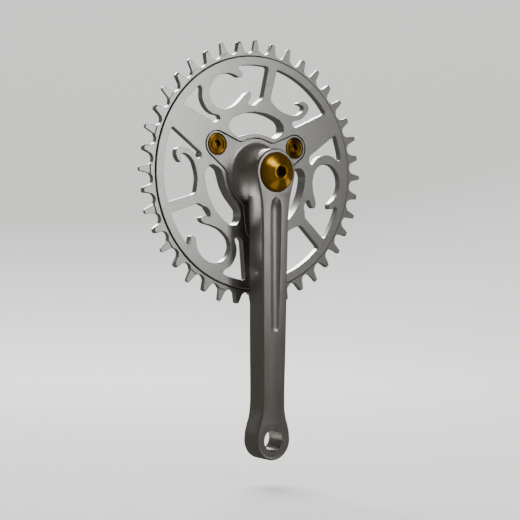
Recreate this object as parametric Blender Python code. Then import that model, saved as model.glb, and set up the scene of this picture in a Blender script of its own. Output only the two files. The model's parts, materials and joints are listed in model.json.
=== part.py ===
"""Drive side of a bicycle crankset: a crank arm with a three-lobed spider, a
40-tooth narrow-wide chainring with scrollwork windows, the chainring bolts and
sleeve nuts, and the captive fixing bolt behind a domed extractor cap.

The frame is metres, +Z up. The spindle turns about Y through the origin, the
outer faces look towards -Y, y = 0 is the middle plane of the chainring's teeth,
and the arm hangs down along -Z. Dimensions below are in millimetres.
"""

import math

import bmesh
import bpy
import numpy as np
from mathutils import Vector
from mathutils.geometry import tessellate_polygon

MM = 0.001

# How far a cutting shape reaches past the face it opens.
OVERSHOOT = 1.0

# Running gap between neighbouring pieces.
GAP = 0.3

# Chainring: teeth, then the levels of its faces along Y.
TEETH = 40
CHAIN_PITCH = 12.7
PITCH_RADIUS = CHAIN_PITCH / (2 * math.sin(math.pi / TEETH))
ROLLER_SEAT = 3.9
SEAT_SWING = 74
NARROW_TIP_RADIUS = 86.2
WIDE_TIP_RADIUS = 84.9
NARROW_STEP_RADIUS = 78.5
TIP_ROUNDING = 0.8
TIP_FLAT = 0.45
WIDE_HALF = 1.95
NARROW_HALF = 1.1
DISC_FRONT = -2.9
DISC_RADIUS = 75.0
RIM_INNER = 69.5
POCKET_FLOOR = 1.6
HUB_BACK = 6.1
HUB_RADIUS = 42.6
RING_BORE = 17.5

# Spider: a bump between the lobes, hollow fillets, and a lobe round each bolt.
SECTORS = 3
BOLT_CIRCLE = 34.95
LOBE_RADIUS = 8.2
BUMP_RADIUS = 22.3
HOLLOW_RADIUS = 8.0
HOLLOW_CENTRE = (12.2, 27.7)
SPIDER_BACK = POCKET_FLOOR - GAP
POCKET_GAP = 0.4

# Crank arm.
ARM_LENGTH = 170.0
ARM_FRONT = -25.3
ARM_BACK = -9.5
ARM_CHAMFER = 1.0
HEAD_RADIUS = 15.0
EYE_RADIUS = 12.8
PEDAL_HOLE = 6.9
PEDAL_HOLE_CHAMFER = 0.3
# Half the arm's width at each height, from the head down to the pedal eye.
ARM_HALF_WIDTHS = [
    (-3.9, 14.49), (-10, 12.9), (-15, 11.75), (-20, 10.95), (-30, 10.2), (-50, 9.85), (-80, 9.5),
    (-112, 9.1), (-143, 8.55), (-154, 9.3), (-160, 11.0), (-165, 12.3), (-170, EYE_RADIUS),
]

# Boss behind the arm's head: a hollow flare that leaves the head and the blade's sides,
# down to the given radius and along the first few half widths, for a round foot.
FLARE_START = -20.0
FLARE_RADIUS = 20.5
BOSS_FOOT = 20.2
BOSS_STATIONS = 6
REAR_BOSS_RADIUS = 16.0
REAR_FACE = 8.0
REAR_EDGE = 0.6

# Sides of the round faces.
FINE = 40
COARSE = 24

# Ball-milled groove down the arm's front: the ball's radius, then the height and half
# width at each station, where the tool comes in from clear of the face, and how far
# below the last station the ball's own round end is followed.
GROOVE_TOOL = 5.0
GROOVE_STAND_OFF = 2.0
GROOVE_START = -12.2
GROOVE_STATIONS = [(-17, 2.5), (-20, 3.9), (-25.5, 4.3), (-45, 4.05), (-70, 3.55), (-98.4, 2.95)]
GROOVE_END_STEPS = (1.2, 2.2, 2.8, 3.5)

# Bores through the head, from the cap's seat to the square taper socket.
CAP_SEAT_RADIUS = 12.65
CAP_SEAT_FLOOR = -22.4
EXTRACTOR_BORE = 11.0
BOLT_LEDGE = -11.0
BOLT_HOLE = 4.5
SOCKET_TOP = -8.0
SOCKET_TOP_FLATS = 12.65
TAPER_DEGREES = 2.0

# Chainring bolts and sleeve nuts: radii, then lengths from the outer face inwards.
SEAT_RADIUS = 7.05
SEAT_DEPTH = 2.0
FLANGE_RADIUS = SEAT_RADIUS - GAP
FLANGE_EDGE = 0.4
FLANGE_THICKNESS = 1.8
FLANGE_PROUD = 0.1
SLEEVE_RADIUS = 5.0
SLEEVE_BORE = 4.3
SLEEVE_LENGTH = 6.4
BOLT_HOLE_RADIUS = SLEEVE_RADIUS + GAP
THREAD_RADIUS = 4.0
THREAD_LEAD = 0.5
BOLT_LENGTH = 8.2
KEY_FLATS = 5.0
KEY_DEPTH = 3.0
# Groove turned in the bolt's head: outer and inner edge, floor, and the land inside it.
HEAD_GROOVE_EDGES = (5.3, 4.1)
HEAD_GROOVE_FLOORS = (4.9, 4.4)
HEAD_GROOVE_DEPTH = 0.5
HEAD_LAND_DEPTH = 0.15

# Fixing bolt, its washer, and the slip ring between bolt and cap.
CRANK_BOLT_TOP = -21.4
CRANK_BOLT_HEAD_RADIUS = 7.5
CRANK_BOLT_FLANGE_TOP = -15.4
CRANK_BOLT_FLANGE_RADIUS = 8.3
CRANK_BOLT_SEAT = -13.4
CRANK_BOLT_END = 3.2
CRANK_BOLT_LEAD = 0.6
CRANK_BOLT_KEY_FLATS = 6.0
CRANK_BOLT_KEY_DEPTH = 5.5
WASHER_FACES = (CRANK_BOLT_SEAT + GAP, BOLT_LEDGE - GAP)
WASHER_RADII = (4.4, 9.5)
SLIP_RING_FACES = (-22.8, CRANK_BOLT_TOP - GAP)
SLIP_RING_RADII = (4.0, 8.4)

# Extractor cap: a shallow cone with a key hole, a rim, and a hollow threaded skirt.
CAP_RIM = -26.8
CAP_RADIUS = 12.3
CAP_APEX = -30.8
CAP_STEP_RADIUS = 5.4
CAP_KEY_HOLE = 3.6
CAP_RIM_BACK = -24.1
CAP_SKIRT_END = -16.4
CAP_HOLLOW_RADIUS = 8.8
CAP_HOLLOW_TOP = SLIP_RING_FACES[0] - GAP
SEAL_SECTION_RADIUS = 0.55
SEAL_RADIUS = 11.75


# ---- plane outlines, as lists of (x, z) in millimetres ----

def polar(radius, degrees):
    """The point at a radius and an angle, counted from +X towards +Z."""
    angle = math.radians(degrees)
    return (radius * math.cos(angle), radius * math.sin(angle))


def arc(radius, start, end, count, centre=(0.0, 0.0)):
    """count + 1 points along an arc from one angle to another, in degrees."""
    points = []
    for index in range(count + 1):
        x, z = polar(radius, start + (end - start) * index / count)
        points.append((centre[0] + x, centre[1] + z))
    return points


def circle(radius, count, centre=(0.0, 0.0)):
    """A closed circle."""
    return arc(radius, 0, 360, count, centre)[:-1]


def turned_by(points, degrees):
    """The outline turned about the spindle."""
    cosine, sine = math.cos(math.radians(degrees)), math.sin(math.radians(degrees))
    return [(x * cosine - z * sine, x * sine + z * cosine) for x, z in points]


def smooth_run(points, steps):
    """A Catmull-Rom curve through hand-set points, ends included."""
    if len(points) == 2:
        return list(points)
    ends = [points[0], *points, points[-1]]
    result = []
    for index in range(1, len(points)):
        p0, p1, p2, p3 = (Vector(ends[index + k]) for k in (-1, 0, 1, 2))
        for step in range(steps):
            t = step / steps
            point = 0.5 * (
                2 * p1 + (p2 - p0) * t + (2 * p0 - 5 * p1 + 4 * p2 - p3) * t * t
                + (3 * p1 - p0 - 3 * p2 + p3) * t ** 3
            )
            result.append((point.x, point.y))
    result.append(points[-1])
    return result


def trimmed(line, length):
    """The polyline without its first stretch of the given length."""
    line = [Vector(point) for point in line]
    while len(line) > 2 and (line[1] - line[0]).length <= length:
        length -= (line[1] - line[0]).length
        line.pop(0)
    line[0] = line[0] + (line[1] - line[0]).normalized() * length
    return [tuple(point) for point in line]


def rounded_outline(runs, steps):
    """Runs of points that meet at corners, closed, each corner rounded.

    Each run is (points, rounding of the corner at its end)."""
    lines = [smooth_run(points, steps) for points, _ in runs]
    result = []
    for index, (points, rounding) in enumerate(runs):
        before = runs[index - 1][1]
        line = trimmed(lines[index], before)
        line = trimmed(line[::-1], rounding)[::-1]
        following = trimmed(lines[(index + 1) % len(runs)], rounding)
        start, corner, end = Vector(line[-1]), Vector(points[-1]), Vector(following[0])
        result += line
        result.append(tuple(0.25 * start + 0.5 * corner + 0.25 * end))
    return result


# Windows of the top sector, clockwise, as runs between corners.

def crescent_window(steps):
    """The bean between the spider and the scrolls."""
    return rounded_outline([
        (arc(39.35, 119, 61, 8), 1.5),
        ([polar(39.35, 61), (21.3, 30.6), (20.6, 27.0), (18.0, 24.5), (14.6, 22.8)], 0.7),
        ([(14.6, 22.8), (10.0, 23.7), (5.0, 24.8), (0, 25.2), (-5.0, 24.8), (-10.0, 23.7),
          (-14.6, 22.8)], 0.7),
        ([(-14.6, 22.8), (-18.0, 24.5), (-20.6, 27.0), (-21.3, 30.6), polar(39.35, 119)], 1.5),
    ], steps)


def scroll_window(steps):
    """The C-shaped hollow with two thorns that opens into a trapezoid."""
    return rounded_outline([
        (arc(RIM_INNER, 101.6, 82.6, 4), 2.2),
        ([polar(RIM_INNER, 82.6), (4.6, 48.9)], 1.0),
        ([(4.6, 48.9), (3.3, 47.4), (0.9, 45.9), (-0.6, 44.3), (-2.9, 43.4), (-5.4, 43.6),
          (-6.9, 45.0), (-5.6, 47.0), (-4.6, 49.2), (-4.5, 51.0), (-5.8, 51.9), (-8.5, 50.9),
          (-11.2, 48.1), (-15.0, 44.4), (-20.0, 41.2), (-27.0, 39.6), (-33.0, 42.2),
          (-36.5, 49.3), (-34.4, 56.6), (-29.0, 61.3), (-23.0, 62.8), (-18.6, 62.4),
          (-14.4, 60.9), (-12.0, 61.2), (-11.0, 62.7), (-12.6, 64.9), (-14.9, 66.3)], 0.5),
        ([(-14.9, 66.3), polar(RIM_INNER, 101.6)], 0.6),
    ], steps)


def corner_window(steps):
    """The small curled triangle outside the scroll band."""
    return rounded_outline([
        (arc(RIM_INNER, 143.5, 129.0, 3), 1.4),
        ([polar(RIM_INNER, 129.0), (-42.2, 51.8), (-42.3, 47.0), (-41.0, 43.0), (-38.0, 39.0),
          (-34.0, 36.5), (-29.9, 35.7), (-28.3, 34.2), (-29.6, 32.0), (-32.6, 30.9)], 0.8),
        ([(-32.6, 30.9), polar(RIM_INNER, 143.5)], 1.4),
    ], steps)


def curl_window(steps):
    """The large window with one curl that grows from its lower edge."""
    return rounded_outline([
        (arc(RIM_INNER, 77.0, 36.9, 7), 1.6),
        ([polar(RIM_INNER, 36.9), (31.2, 30.8)], 0.8),
        ([(31.2, 30.8), (29.2, 31.7), (28.4, 33.3), (29.4, 35.1), (33.0, 35.7), (37.0, 37.8),
          (40.2, 41.0), (41.7, 44.4), (40.3, 47.0), (37.4, 48.2), (34.2, 47.9), (32.8, 46.9),
          (34.4, 46.1), (36.6, 45.4), (37.2, 43.6), (36.0, 41.3), (33.0, 39.5), (29.0, 38.6),
          (25.0, 39.2), (19.0, 41.0), (13.4, 45.0), (11.4, 47.1), (11.0, 49.5)], 0.6),
        ([(11.0, 49.5), polar(RIM_INNER, 77.0)], 1.2),
    ], steps)


def spider_outline(grow, detail):
    """Bump, hollow, lobe and hollow in each sector; grow moves it outwards."""
    lobe_centre = Vector(polar(BOLT_CIRCLE, 30))
    hollow = Vector(HOLLOW_CENTRE)
    across = lobe_centre - hollow
    swing = math.asin((LOBE_RADIUS + HOLLOW_RADIUS) / across.length)
    tangent = math.degrees(math.atan2(across.y, across.x) + swing)
    hollow_bearing = math.degrees(math.atan2(hollow.y, hollow.x))
    half = arc(BUMP_RADIUS + grow, 90, hollow_bearing, 2 * detail)[:-1]
    half += arc(HOLLOW_RADIUS - grow, hollow_bearing - 180, tangent - 90, 3 * detail, HOLLOW_CENTRE)
    half += arc(LOBE_RADIUS + grow, tangent + 90, 30, 5 * detail, tuple(lobe_centre))
    mirrored = turned_by([(-x, z) for x, z in half], -120)[::-1]
    sector = half + mirrored[1:-1]
    return [p for turn in range(SECTORS) for p in turned_by(sector, -120 * turn)]


# ---- closed surfaces made of flat regions and the walls between loops ----

class Shell:
    """A closed surface; vertices at the same place are shared."""

    def __init__(self):
        self.bm = bmesh.new()
        self.known = {}

    def vertex(self, x, y, z):
        key = (round(x, 4), round(y, 4), round(z, 4))
        if key not in self.known:
            self.known[key] = self.bm.verts.new((x * MM, y * MM, z * MM))
        return self.known[key]

    def face(self, corners):
        self.bm.faces.new([self.vertex(*corner) for corner in corners])

    def wall(self, loop_a, y_a, loop_b, y_b):
        """The band between two closed loops that have the same number of points."""
        for index in range(len(loop_a)):
            (ax, az), (bx, bz) = loop_a[index - 1], loop_a[index]
            (cx, cz), (dx, dz) = loop_b[index], loop_b[index - 1]
            self.face([(ax, y_a, az), (bx, y_a, bz), (cx, y_b, cz), (dx, y_b, dz)])

    def region(self, y, outer, holes=()):
        """The flat area inside the outer loop and outside the holes."""
        loops = [outer, *holes]
        points = [point for loop in loops for point in loop]
        flat = [[Vector((x, z, 0)) for x, z in loop] for loop in loops]
        for triangle in tessellate_polygon(flat):
            self.face([(points[i][0], y, points[i][1]) for i in triangle])

    def turned(self, profile, count):
        """Rings along a profile of (y, radius); a radius of 0 closes an end."""
        for (y_a, r_a), (y_b, r_b) in zip(profile, profile[1:]):
            if r_a and r_b:
                self.wall(circle(r_a, count), y_a, circle(r_b, count), y_b)
        for y, radius in (profile[0], profile[-1]):
            if profile[0] != profile[-1]:
                self.region(y, circle(radius, count))

    def finish(self, name, material, smooth_below=35):
        """The surface as a named object, its faces pointing out."""
        bmesh.ops.recalc_face_normals(self.bm, faces=self.bm.faces)
        mesh = bpy.data.meshes.new(name)
        self.bm.to_mesh(mesh)
        self.bm.free()
        mesh.shade_smooth()
        mesh.set_sharp_from_angle(angle=math.radians(smooth_below))
        obj = bpy.data.objects.new(name, mesh)
        bpy.context.scene.collection.objects.link(obj)
        if material:
            mesh.materials.append(material)
        return obj


def cutter(obj):
    """Marks an object as a tool that only cuts others."""
    obj.hide_render = True
    obj.display_type = "WIRE"
    return obj


def boolean(target, tool, operation):
    """Adds an exact Boolean of the tool to the target."""
    modifier = target.modifiers.new(tool.name, "BOOLEAN")
    modifier.operation = operation
    modifier.solver = "EXACT"
    modifier.object = cutter(tool)


def metal(name, colour, roughness):
    """A metal finish."""
    material = bpy.data.materials.new(name)
    material.use_nodes = True
    shader = material.node_tree.nodes["Principled BSDF"]
    shader.inputs["Base Color"].default_value = (*colour, 1.0)
    shader.inputs["Roughness"].default_value = roughness
    shader.inputs["Metallic"].default_value = 1.0
    return material


def plastic(name, colour, roughness):
    """A non-metal finish."""
    material = metal(name, colour, roughness)
    material.node_tree.nodes["Principled BSDF"].inputs["Metallic"].default_value = 0.0
    return material


# ---- the pieces ----

def tooth_profile(tip_radius, rounding):
    """One tooth centred on +Z from seat bottom to seat bottom, clockwise.

    Returns the points before the flank, the tip, and the points after it."""
    half_pitch = 180 / TEETH
    seat = polar(PITCH_RADIUS, 90 - half_pitch)
    seat_bottom = 270 - half_pitch
    right_arc = arc(ROLLER_SEAT, seat_bottom - SEAT_SWING, seat_bottom, 4, seat)
    lean = math.radians(90 - SEAT_SWING - half_pitch)
    foot_x, foot_z = right_arc[0]
    tip_x = foot_x - (tip_radius - foot_z) * math.tan(lean)
    corner_x = foot_x - (tip_radius - rounding - foot_z) * math.tan(lean)
    flat_x = tip_x * TIP_FLAT
    tip = [(-corner_x, tip_radius - rounding), (-flat_x, tip_radius),
           (flat_x, tip_radius), (corner_x, tip_radius - rounding)]
    left_arc = [(-x, z) for x, z in right_arc][::-1]
    return left_arc, tip, right_arc[:-1]


def crossing(point_a, point_b, height):
    """Where the line between two points reaches a height."""
    (ax, az), (bx, bz) = point_a, point_b
    share = (height - az) / (bz - az)
    return (ax + (bx - ax) * share, height)


def build_teeth(shell):
    """Walls of all the teeth, and the thin plates of the narrow ones.

    Returns the outline of the thick ring, with the narrow teeth cut off."""
    outline = []
    narrow_joints = []
    for tooth in range(TEETH):
        turn = -360 / TEETH * tooth
        narrow = tooth % 2 == 0
        tip_radius = NARROW_TIP_RADIUS if narrow else WIDE_TIP_RADIUS
        left, tip, right = tooth_profile(tip_radius, TIP_ROUNDING)
        if not narrow:
            outline += turned_by(left + tip + right, turn)
            continue
        below = [p for p in left if p[1] < NARROW_STEP_RADIUS]
        above = [p for p in left if p[1] > NARROW_STEP_RADIUS]
        foot = crossing(below[-1], above[0], NARROW_STEP_RADIUS)
        mirror = [(-x, z) for x, z in [*below, foot]][::-1]
        outline += turned_by([*below, foot] + mirror[:-1], turn)
        plate = [foot, *above, *tip, *[(-x, z) for x, z in above][::-1], (-foot[0], foot[1])]
        plate = turned_by(plate, turn)
        for (ax, az), (bx, bz) in zip(plate, plate[1:]):
            shell.face([(ax, -NARROW_HALF, az), (bx, -NARROW_HALF, bz),
                        (bx, NARROW_HALF, bz), (ax, NARROW_HALF, az)])
        (ax, az), (bx, bz) = plate[0], plate[-1]
        for side in (-1, 1):
            shell.face([(x, side * NARROW_HALF, z) for x, z in plate])
            shell.face([(ax, side * WIDE_HALF, az), (bx, side * WIDE_HALF, bz),
                        (bx, side * NARROW_HALF, bz), (ax, side * NARROW_HALF, az)])
        narrow_joints.append((plate[0], plate[-1]))
    feet = {point for pair in narrow_joints for point in pair}
    for index in range(len(outline)):
        a, b = outline[index - 1], outline[index]
        if (a, b) in narrow_joints:
            continue
        corners = [(a[0], WIDE_HALF, a[1]), (a[0], -WIDE_HALF, a[1]),
                   (b[0], -WIDE_HALF, b[1]), (b[0], WIDE_HALF, b[1])]
        if b in feet:
            corners[3:3] = [(b[0], -NARROW_HALF, b[1]), (b[0], NARROW_HALF, b[1])]
        if a in feet:
            corners[1:1] = [(a[0], NARROW_HALF, a[1]), (a[0], -NARROW_HALF, a[1])]
        shell.face(corners)
    return outline


def front_places():
    """Centres of the two upper lobes, whose bolts go in from the front."""
    return [polar(BOLT_CIRCLE, 30), polar(BOLT_CIRCLE, 150)]


def rear_place():
    """Centre of the lobe behind the arm, whose bolt goes in from the back."""
    return polar(BOLT_CIRCLE, 270)


def lobe_holes():
    """The bolt holes of the three lobes; the last takes a bolt with no sleeve nut."""
    holes = [circle(BOLT_HOLE_RADIUS, COARSE, centre) for centre in front_places()]
    return [*holes, circle(SLEEVE_BORE, COARSE, rear_place())]


def build_chainring(material):
    """Tooth ring, raised disc with its windows, pocket for the spider, rear hub."""
    shell = Shell()
    outline = build_teeth(shell)
    disc = circle(DISC_RADIUS, 2 * FINE)
    hub = circle(HUB_RADIUS, 2 * COARSE)
    bore = circle(RING_BORE, FINE)
    pocket = spider_outline(POCKET_GAP, 1)
    open_windows = []
    crescents = []
    for sector in range(SECTORS):
        turn = 360 / SECTORS * sector
        for window in (scroll_window(1), corner_window(1), curl_window(1)):
            open_windows.append(turned_by(window, turn))
        crescents.append(turned_by(crescent_window(1), turn))
    holes = lobe_holes()
    seats = [circle(SEAT_RADIUS, COARSE, centre) for centre in [*front_places(), rear_place()]]
    seat_floor = HUB_BACK - SEAT_DEPTH

    shell.region(-WIDE_HALF, outline, [disc])
    shell.wall(disc, DISC_FRONT, disc, -WIDE_HALF)
    shell.region(DISC_FRONT, disc, [*open_windows, *crescents, pocket])
    shell.region(WIDE_HALF, outline, [*open_windows, hub])
    for window in open_windows:
        shell.wall(window, DISC_FRONT, window, WIDE_HALF)
    for window in crescents:
        shell.wall(window, DISC_FRONT, window, HUB_BACK)
    shell.wall(hub, WIDE_HALF, hub, HUB_BACK)
    shell.region(HUB_BACK, hub, [*crescents, bore, *seats])
    shell.wall(pocket, DISC_FRONT, pocket, POCKET_FLOOR)
    shell.region(POCKET_FLOOR, pocket, [bore, *holes])
    shell.wall(bore, POCKET_FLOOR, bore, HUB_BACK)
    for seat, hole in zip(seats, holes):
        shell.wall(seat, HUB_BACK, seat, seat_floor)
        shell.region(seat_floor, seat, [hole])
        shell.wall(hole, POCKET_FLOOR, hole, seat_floor)
    return shell.finish("chainring", material)


def arm_outline(inset):
    """The arm seen from the front, pulled in by the inset."""
    side = smooth_run([(half, z) for z, half in ARM_HALF_WIDTHS], 2)
    side[-1] = (EYE_RADIUS, -ARM_LENGTH)
    head = arc(HEAD_RADIUS, 195, -15, COARSE)
    eye = arc(EYE_RADIUS, 0, -180, 16, (0, -ARM_LENGTH))
    outline = head + side[1:-1] + eye + [(-x, z) for x, z in side[1:-1]][::-1]
    result = []
    for index, point in enumerate(outline):
        before, after = Vector(outline[index - 1]), Vector(outline[(index + 1) % len(outline)])
        along = (after - before).normalized()
        result.append((point[0] + along.y * inset, point[1] - along.x * inset))
    return result


def build_arm_blade():
    """The flat blade from head to pedal eye, with the pedal hole through it."""
    shell = Shell()
    full, narrow = arm_outline(0), arm_outline(ARM_CHAMFER)
    centre = (0, -ARM_LENGTH)
    hole = circle(PEDAL_HOLE, COARSE, centre)
    mouth = circle(PEDAL_HOLE + PEDAL_HOLE_CHAMFER, COARSE, centre)
    shell.region(ARM_FRONT, narrow, [mouth])
    shell.wall(narrow, ARM_FRONT, full, ARM_FRONT + ARM_CHAMFER)
    shell.wall(full, ARM_FRONT + ARM_CHAMFER, full, ARM_BACK - ARM_CHAMFER)
    shell.wall(full, ARM_BACK - ARM_CHAMFER, narrow, ARM_BACK)
    shell.region(ARM_BACK, narrow, [mouth])
    shell.wall(mouth, ARM_FRONT, hole, ARM_FRONT + PEDAL_HOLE_CHAMFER)
    shell.wall(hole, ARM_FRONT + PEDAL_HOLE_CHAMFER, hole, ARM_BACK - PEDAL_HOLE_CHAMFER)
    shell.wall(hole, ARM_BACK - PEDAL_HOLE_CHAMFER, mouth, ARM_BACK)
    return shell


def flare_loop(share):
    """A section of the boss, from its round foot (0) to the head and the blade's sides (1)."""
    side = smooth_run([(half, z) for z, half in ARM_HALF_WIDTHS[:BOSS_STATIONS]], 2)[::-1]
    leans = [math.degrees(math.atan2(x, -z)) for x, z in side]
    reaches = [min(math.hypot(x, z) - GAP, BOSS_FOOT) for x, z in side]
    loop = []
    for x, z in circle(1.0, FINE):
        lean = math.degrees(math.acos(max(-1.0, min(1.0, -z))))
        reach = float(np.interp(lean, leans, reaches))
        radius = FLARE_RADIUS - share * (FLARE_RADIUS - reach)
        loop.append((x * radius, z * radius))
    return loop


def build_spider():
    """Boss, flare, three-lobed spider and rear boss as one body."""
    shell = Shell()
    start_y = FLARE_START - ARM_CHAMFER
    depth = DISC_FRONT - FLARE_START
    sections = [(start_y, flare_loop(1.0))]
    for degrees in range(0, 90, 15):
        angle = math.radians(degrees)
        sections.append((FLARE_START + depth * math.sin(angle), flare_loop(math.cos(angle))))
    sections.append((DISC_FRONT, circle(FLARE_RADIUS, FINE)))
    shell.region(start_y, sections[0][1])
    for (y_a, loop_a), (y_b, loop_b) in zip(sections, sections[1:]):
        shell.wall(loop_a, y_a, loop_b, y_b)
    outline = spider_outline(0, 1)
    holes = lobe_holes()
    seats = [circle(SEAT_RADIUS, COARSE, centre) for centre in front_places()]
    seat_floor = DISC_FRONT + SEAT_DEPTH
    shell.region(DISC_FRONT, outline, [circle(FLARE_RADIUS, FINE), *seats, holes[-1]])
    shell.wall(outline, DISC_FRONT, outline, SPIDER_BACK)
    rear = circle(REAR_BOSS_RADIUS, FINE)
    rear_edge = circle(REAR_BOSS_RADIUS - REAR_EDGE, FINE)
    shell.region(SPIDER_BACK, outline, [rear, *holes])
    shell.wall(rear, SPIDER_BACK, rear, REAR_FACE - REAR_EDGE)
    shell.wall(rear, REAR_FACE - REAR_EDGE, rear_edge, REAR_FACE)
    shell.region(REAR_FACE, rear_edge)
    for seat, hole in zip(seats, holes):
        shell.wall(seat, DISC_FRONT, seat, seat_floor)
        shell.region(seat_floor, seat, [hole])
        shell.wall(hole, seat_floor, hole, SPIDER_BACK)
    shell.wall(holes[-1], DISC_FRONT, holes[-1], SPIDER_BACK)
    return shell


def build_groove():
    """The path of the ball-end tool, a tube that dips into the arm's front."""
    shell = Shell()
    path = [(GROOVE_START, GROOVE_TOOL + GROOVE_STAND_OFF, GROOVE_TOOL)]
    for z, half in GROOVE_STATIONS:
        path.append((z, math.sqrt(GROOVE_TOOL ** 2 - half ** 2), GROOVE_TOOL))
    last_z, last_height, _ = path[-1]
    for step in GROOVE_END_STEPS:
        path.append((last_z - step, last_height, math.sqrt(GROOVE_TOOL ** 2 - step ** 2)))
    rings = [[(x, ARM_FRONT - height + y, z) for x, y in circle(radius, COARSE)]
             for z, height, radius in path]
    for ring_a, ring_b in zip(rings, rings[1:]):
        for index in range(COARSE):
            shell.face([ring_a[index - 1], ring_a[index], ring_b[index], ring_b[index - 1]])
    shell.face(rings[0])
    shell.face(rings[-1])
    return shell.finish("groove_tool", None)


def build_head_bores():
    """The cap's seat, the extractor thread's bore and the bolt's hole."""
    shell = Shell()
    shell.turned([
        (ARM_FRONT - OVERSHOOT, CAP_SEAT_RADIUS), (CAP_SEAT_FLOOR, CAP_SEAT_RADIUS),
        (CAP_SEAT_FLOOR, EXTRACTOR_BORE), (BOLT_LEDGE, EXTRACTOR_BORE),
        (BOLT_LEDGE, BOLT_HOLE), (SOCKET_TOP + OVERSHOOT, BOLT_HOLE),
    ], FINE)
    return shell.finish("head_bore_tool", None)


def build_socket():
    """The square taper for the spindle's end, wider towards its mouth."""
    shell = Shell()
    mouth_y = REAR_FACE + OVERSHOOT
    growth = (mouth_y - SOCKET_TOP) * math.tan(math.radians(TAPER_DEGREES))
    small = SOCKET_TOP_FLATS / 2
    large = small + growth
    top = [(-small, -small), (small, -small), (small, small), (-small, small)]
    mouth = [(-large, -large), (large, -large), (large, large), (-large, large)]
    shell.region(SOCKET_TOP, top)
    shell.wall(top, SOCKET_TOP, mouth, mouth_y)
    shell.region(mouth_y, mouth)
    return shell.finish("socket_tool", None)


def build_crank_arm(material):
    """Blade and spider joined, then grooved and bored."""
    arm = build_arm_blade().finish("crank_arm", material)
    boolean(arm, build_spider().finish("spider_body", None), "UNION")
    boolean(arm, build_groove(), "DIFFERENCE")
    boolean(arm, build_head_bores(), "DIFFERENCE")
    boolean(arm, build_socket(), "DIFFERENCE")
    return arm


def hexagon(flats):
    """A hexagon by its size across flats."""
    return circle(flats / 2 / math.cos(math.radians(30)), 6)


def shifted(outline, centre):
    """The outline moved to a centre."""
    return [(x + centre[0], z + centre[1]) for x, z in outline]


def turned_pieces(centre, face_y, inwards):
    """Two helpers for a fastener: a ring about its axis, and the level at a depth."""
    def ring(radius):
        return circle(radius, COARSE, centre)

    def level(depth):
        return face_y + inwards * depth

    return ring, level


def build_bolt(name, material, centre, face_y, inwards):
    """A chainring bolt: a head with a turned groove and a key socket, and a shank."""
    shell = Shell()
    ring, level = turned_pieces(centre, face_y, inwards)
    key = shifted(hexagon(KEY_FLATS), centre)
    outer_edge, inner_edge = HEAD_GROOVE_EDGES
    outer_floor, inner_floor = HEAD_GROOVE_FLOORS
    land = level(HEAD_LAND_DEPTH)
    floor = level(HEAD_GROOVE_DEPTH)
    shell.region(level(0), ring(FLANGE_RADIUS - FLANGE_EDGE), [ring(outer_edge)])
    shell.wall(ring(outer_edge), level(0), ring(outer_floor), floor)
    shell.region(floor, ring(outer_floor), [ring(inner_floor)])
    shell.wall(ring(inner_floor), floor, ring(inner_edge), land)
    shell.region(land, ring(inner_edge), [key])
    shell.wall(key, land, key, level(KEY_DEPTH))
    shell.region(level(KEY_DEPTH), key)
    profile = [
        (0, FLANGE_RADIUS - FLANGE_EDGE), (FLANGE_EDGE, FLANGE_RADIUS),
        (FLANGE_THICKNESS, FLANGE_RADIUS), (FLANGE_THICKNESS, THREAD_RADIUS),
        (BOLT_LENGTH - THREAD_LEAD, THREAD_RADIUS), (BOLT_LENGTH, THREAD_RADIUS - THREAD_LEAD),
    ]
    for (depth_a, radius_a), (depth_b, radius_b) in zip(profile, profile[1:]):
        shell.wall(ring(radius_a), level(depth_a), ring(radius_b), level(depth_b))
    shell.region(level(BOLT_LENGTH), ring(THREAD_RADIUS - THREAD_LEAD))
    return shell.finish(name, material)


def build_nut(name, material, centre, face_y, inwards):
    """A sleeve nut: a thin flange on a threaded sleeve, open at both ends."""
    shell = Shell()
    ring, level = turned_pieces(centre, face_y, inwards)
    profile = [
        (0, SLEEVE_BORE), (0, FLANGE_RADIUS - FLANGE_EDGE), (FLANGE_EDGE, FLANGE_RADIUS),
        (FLANGE_THICKNESS, FLANGE_RADIUS), (FLANGE_THICKNESS, SLEEVE_RADIUS),
        (SLEEVE_LENGTH, SLEEVE_RADIUS), (SLEEVE_LENGTH, SLEEVE_BORE), (0, SLEEVE_BORE),
    ]
    for (depth_a, radius_a), (depth_b, radius_b) in zip(profile, profile[1:]):
        shell.wall(ring(radius_a), level(depth_a), ring(radius_b), level(depth_b))
    return shell.finish(name, material)


def build_fasteners(material):
    """Bolts and sleeve nuts of the upper lobes, and the bolt from behind in the third."""
    front = DISC_FRONT - FLANGE_PROUD
    back = HUB_BACK + FLANGE_PROUD
    for number, centre in enumerate(front_places(), start=1):
        build_bolt(f"chainring_bolt_{number}", material, centre, front, 1)
        build_nut(f"chainring_nut_{number}", material, centre, back, -1)
    build_bolt("chainring_bolt_3", material, rear_place(), back, -1)


def build_ring(name, material, profile, count):
    """A ring of revolution from a closed profile of (y, radius)."""
    shell = Shell()
    shell.turned([*profile, profile[0]], count)
    return shell.finish(name, material)


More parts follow.
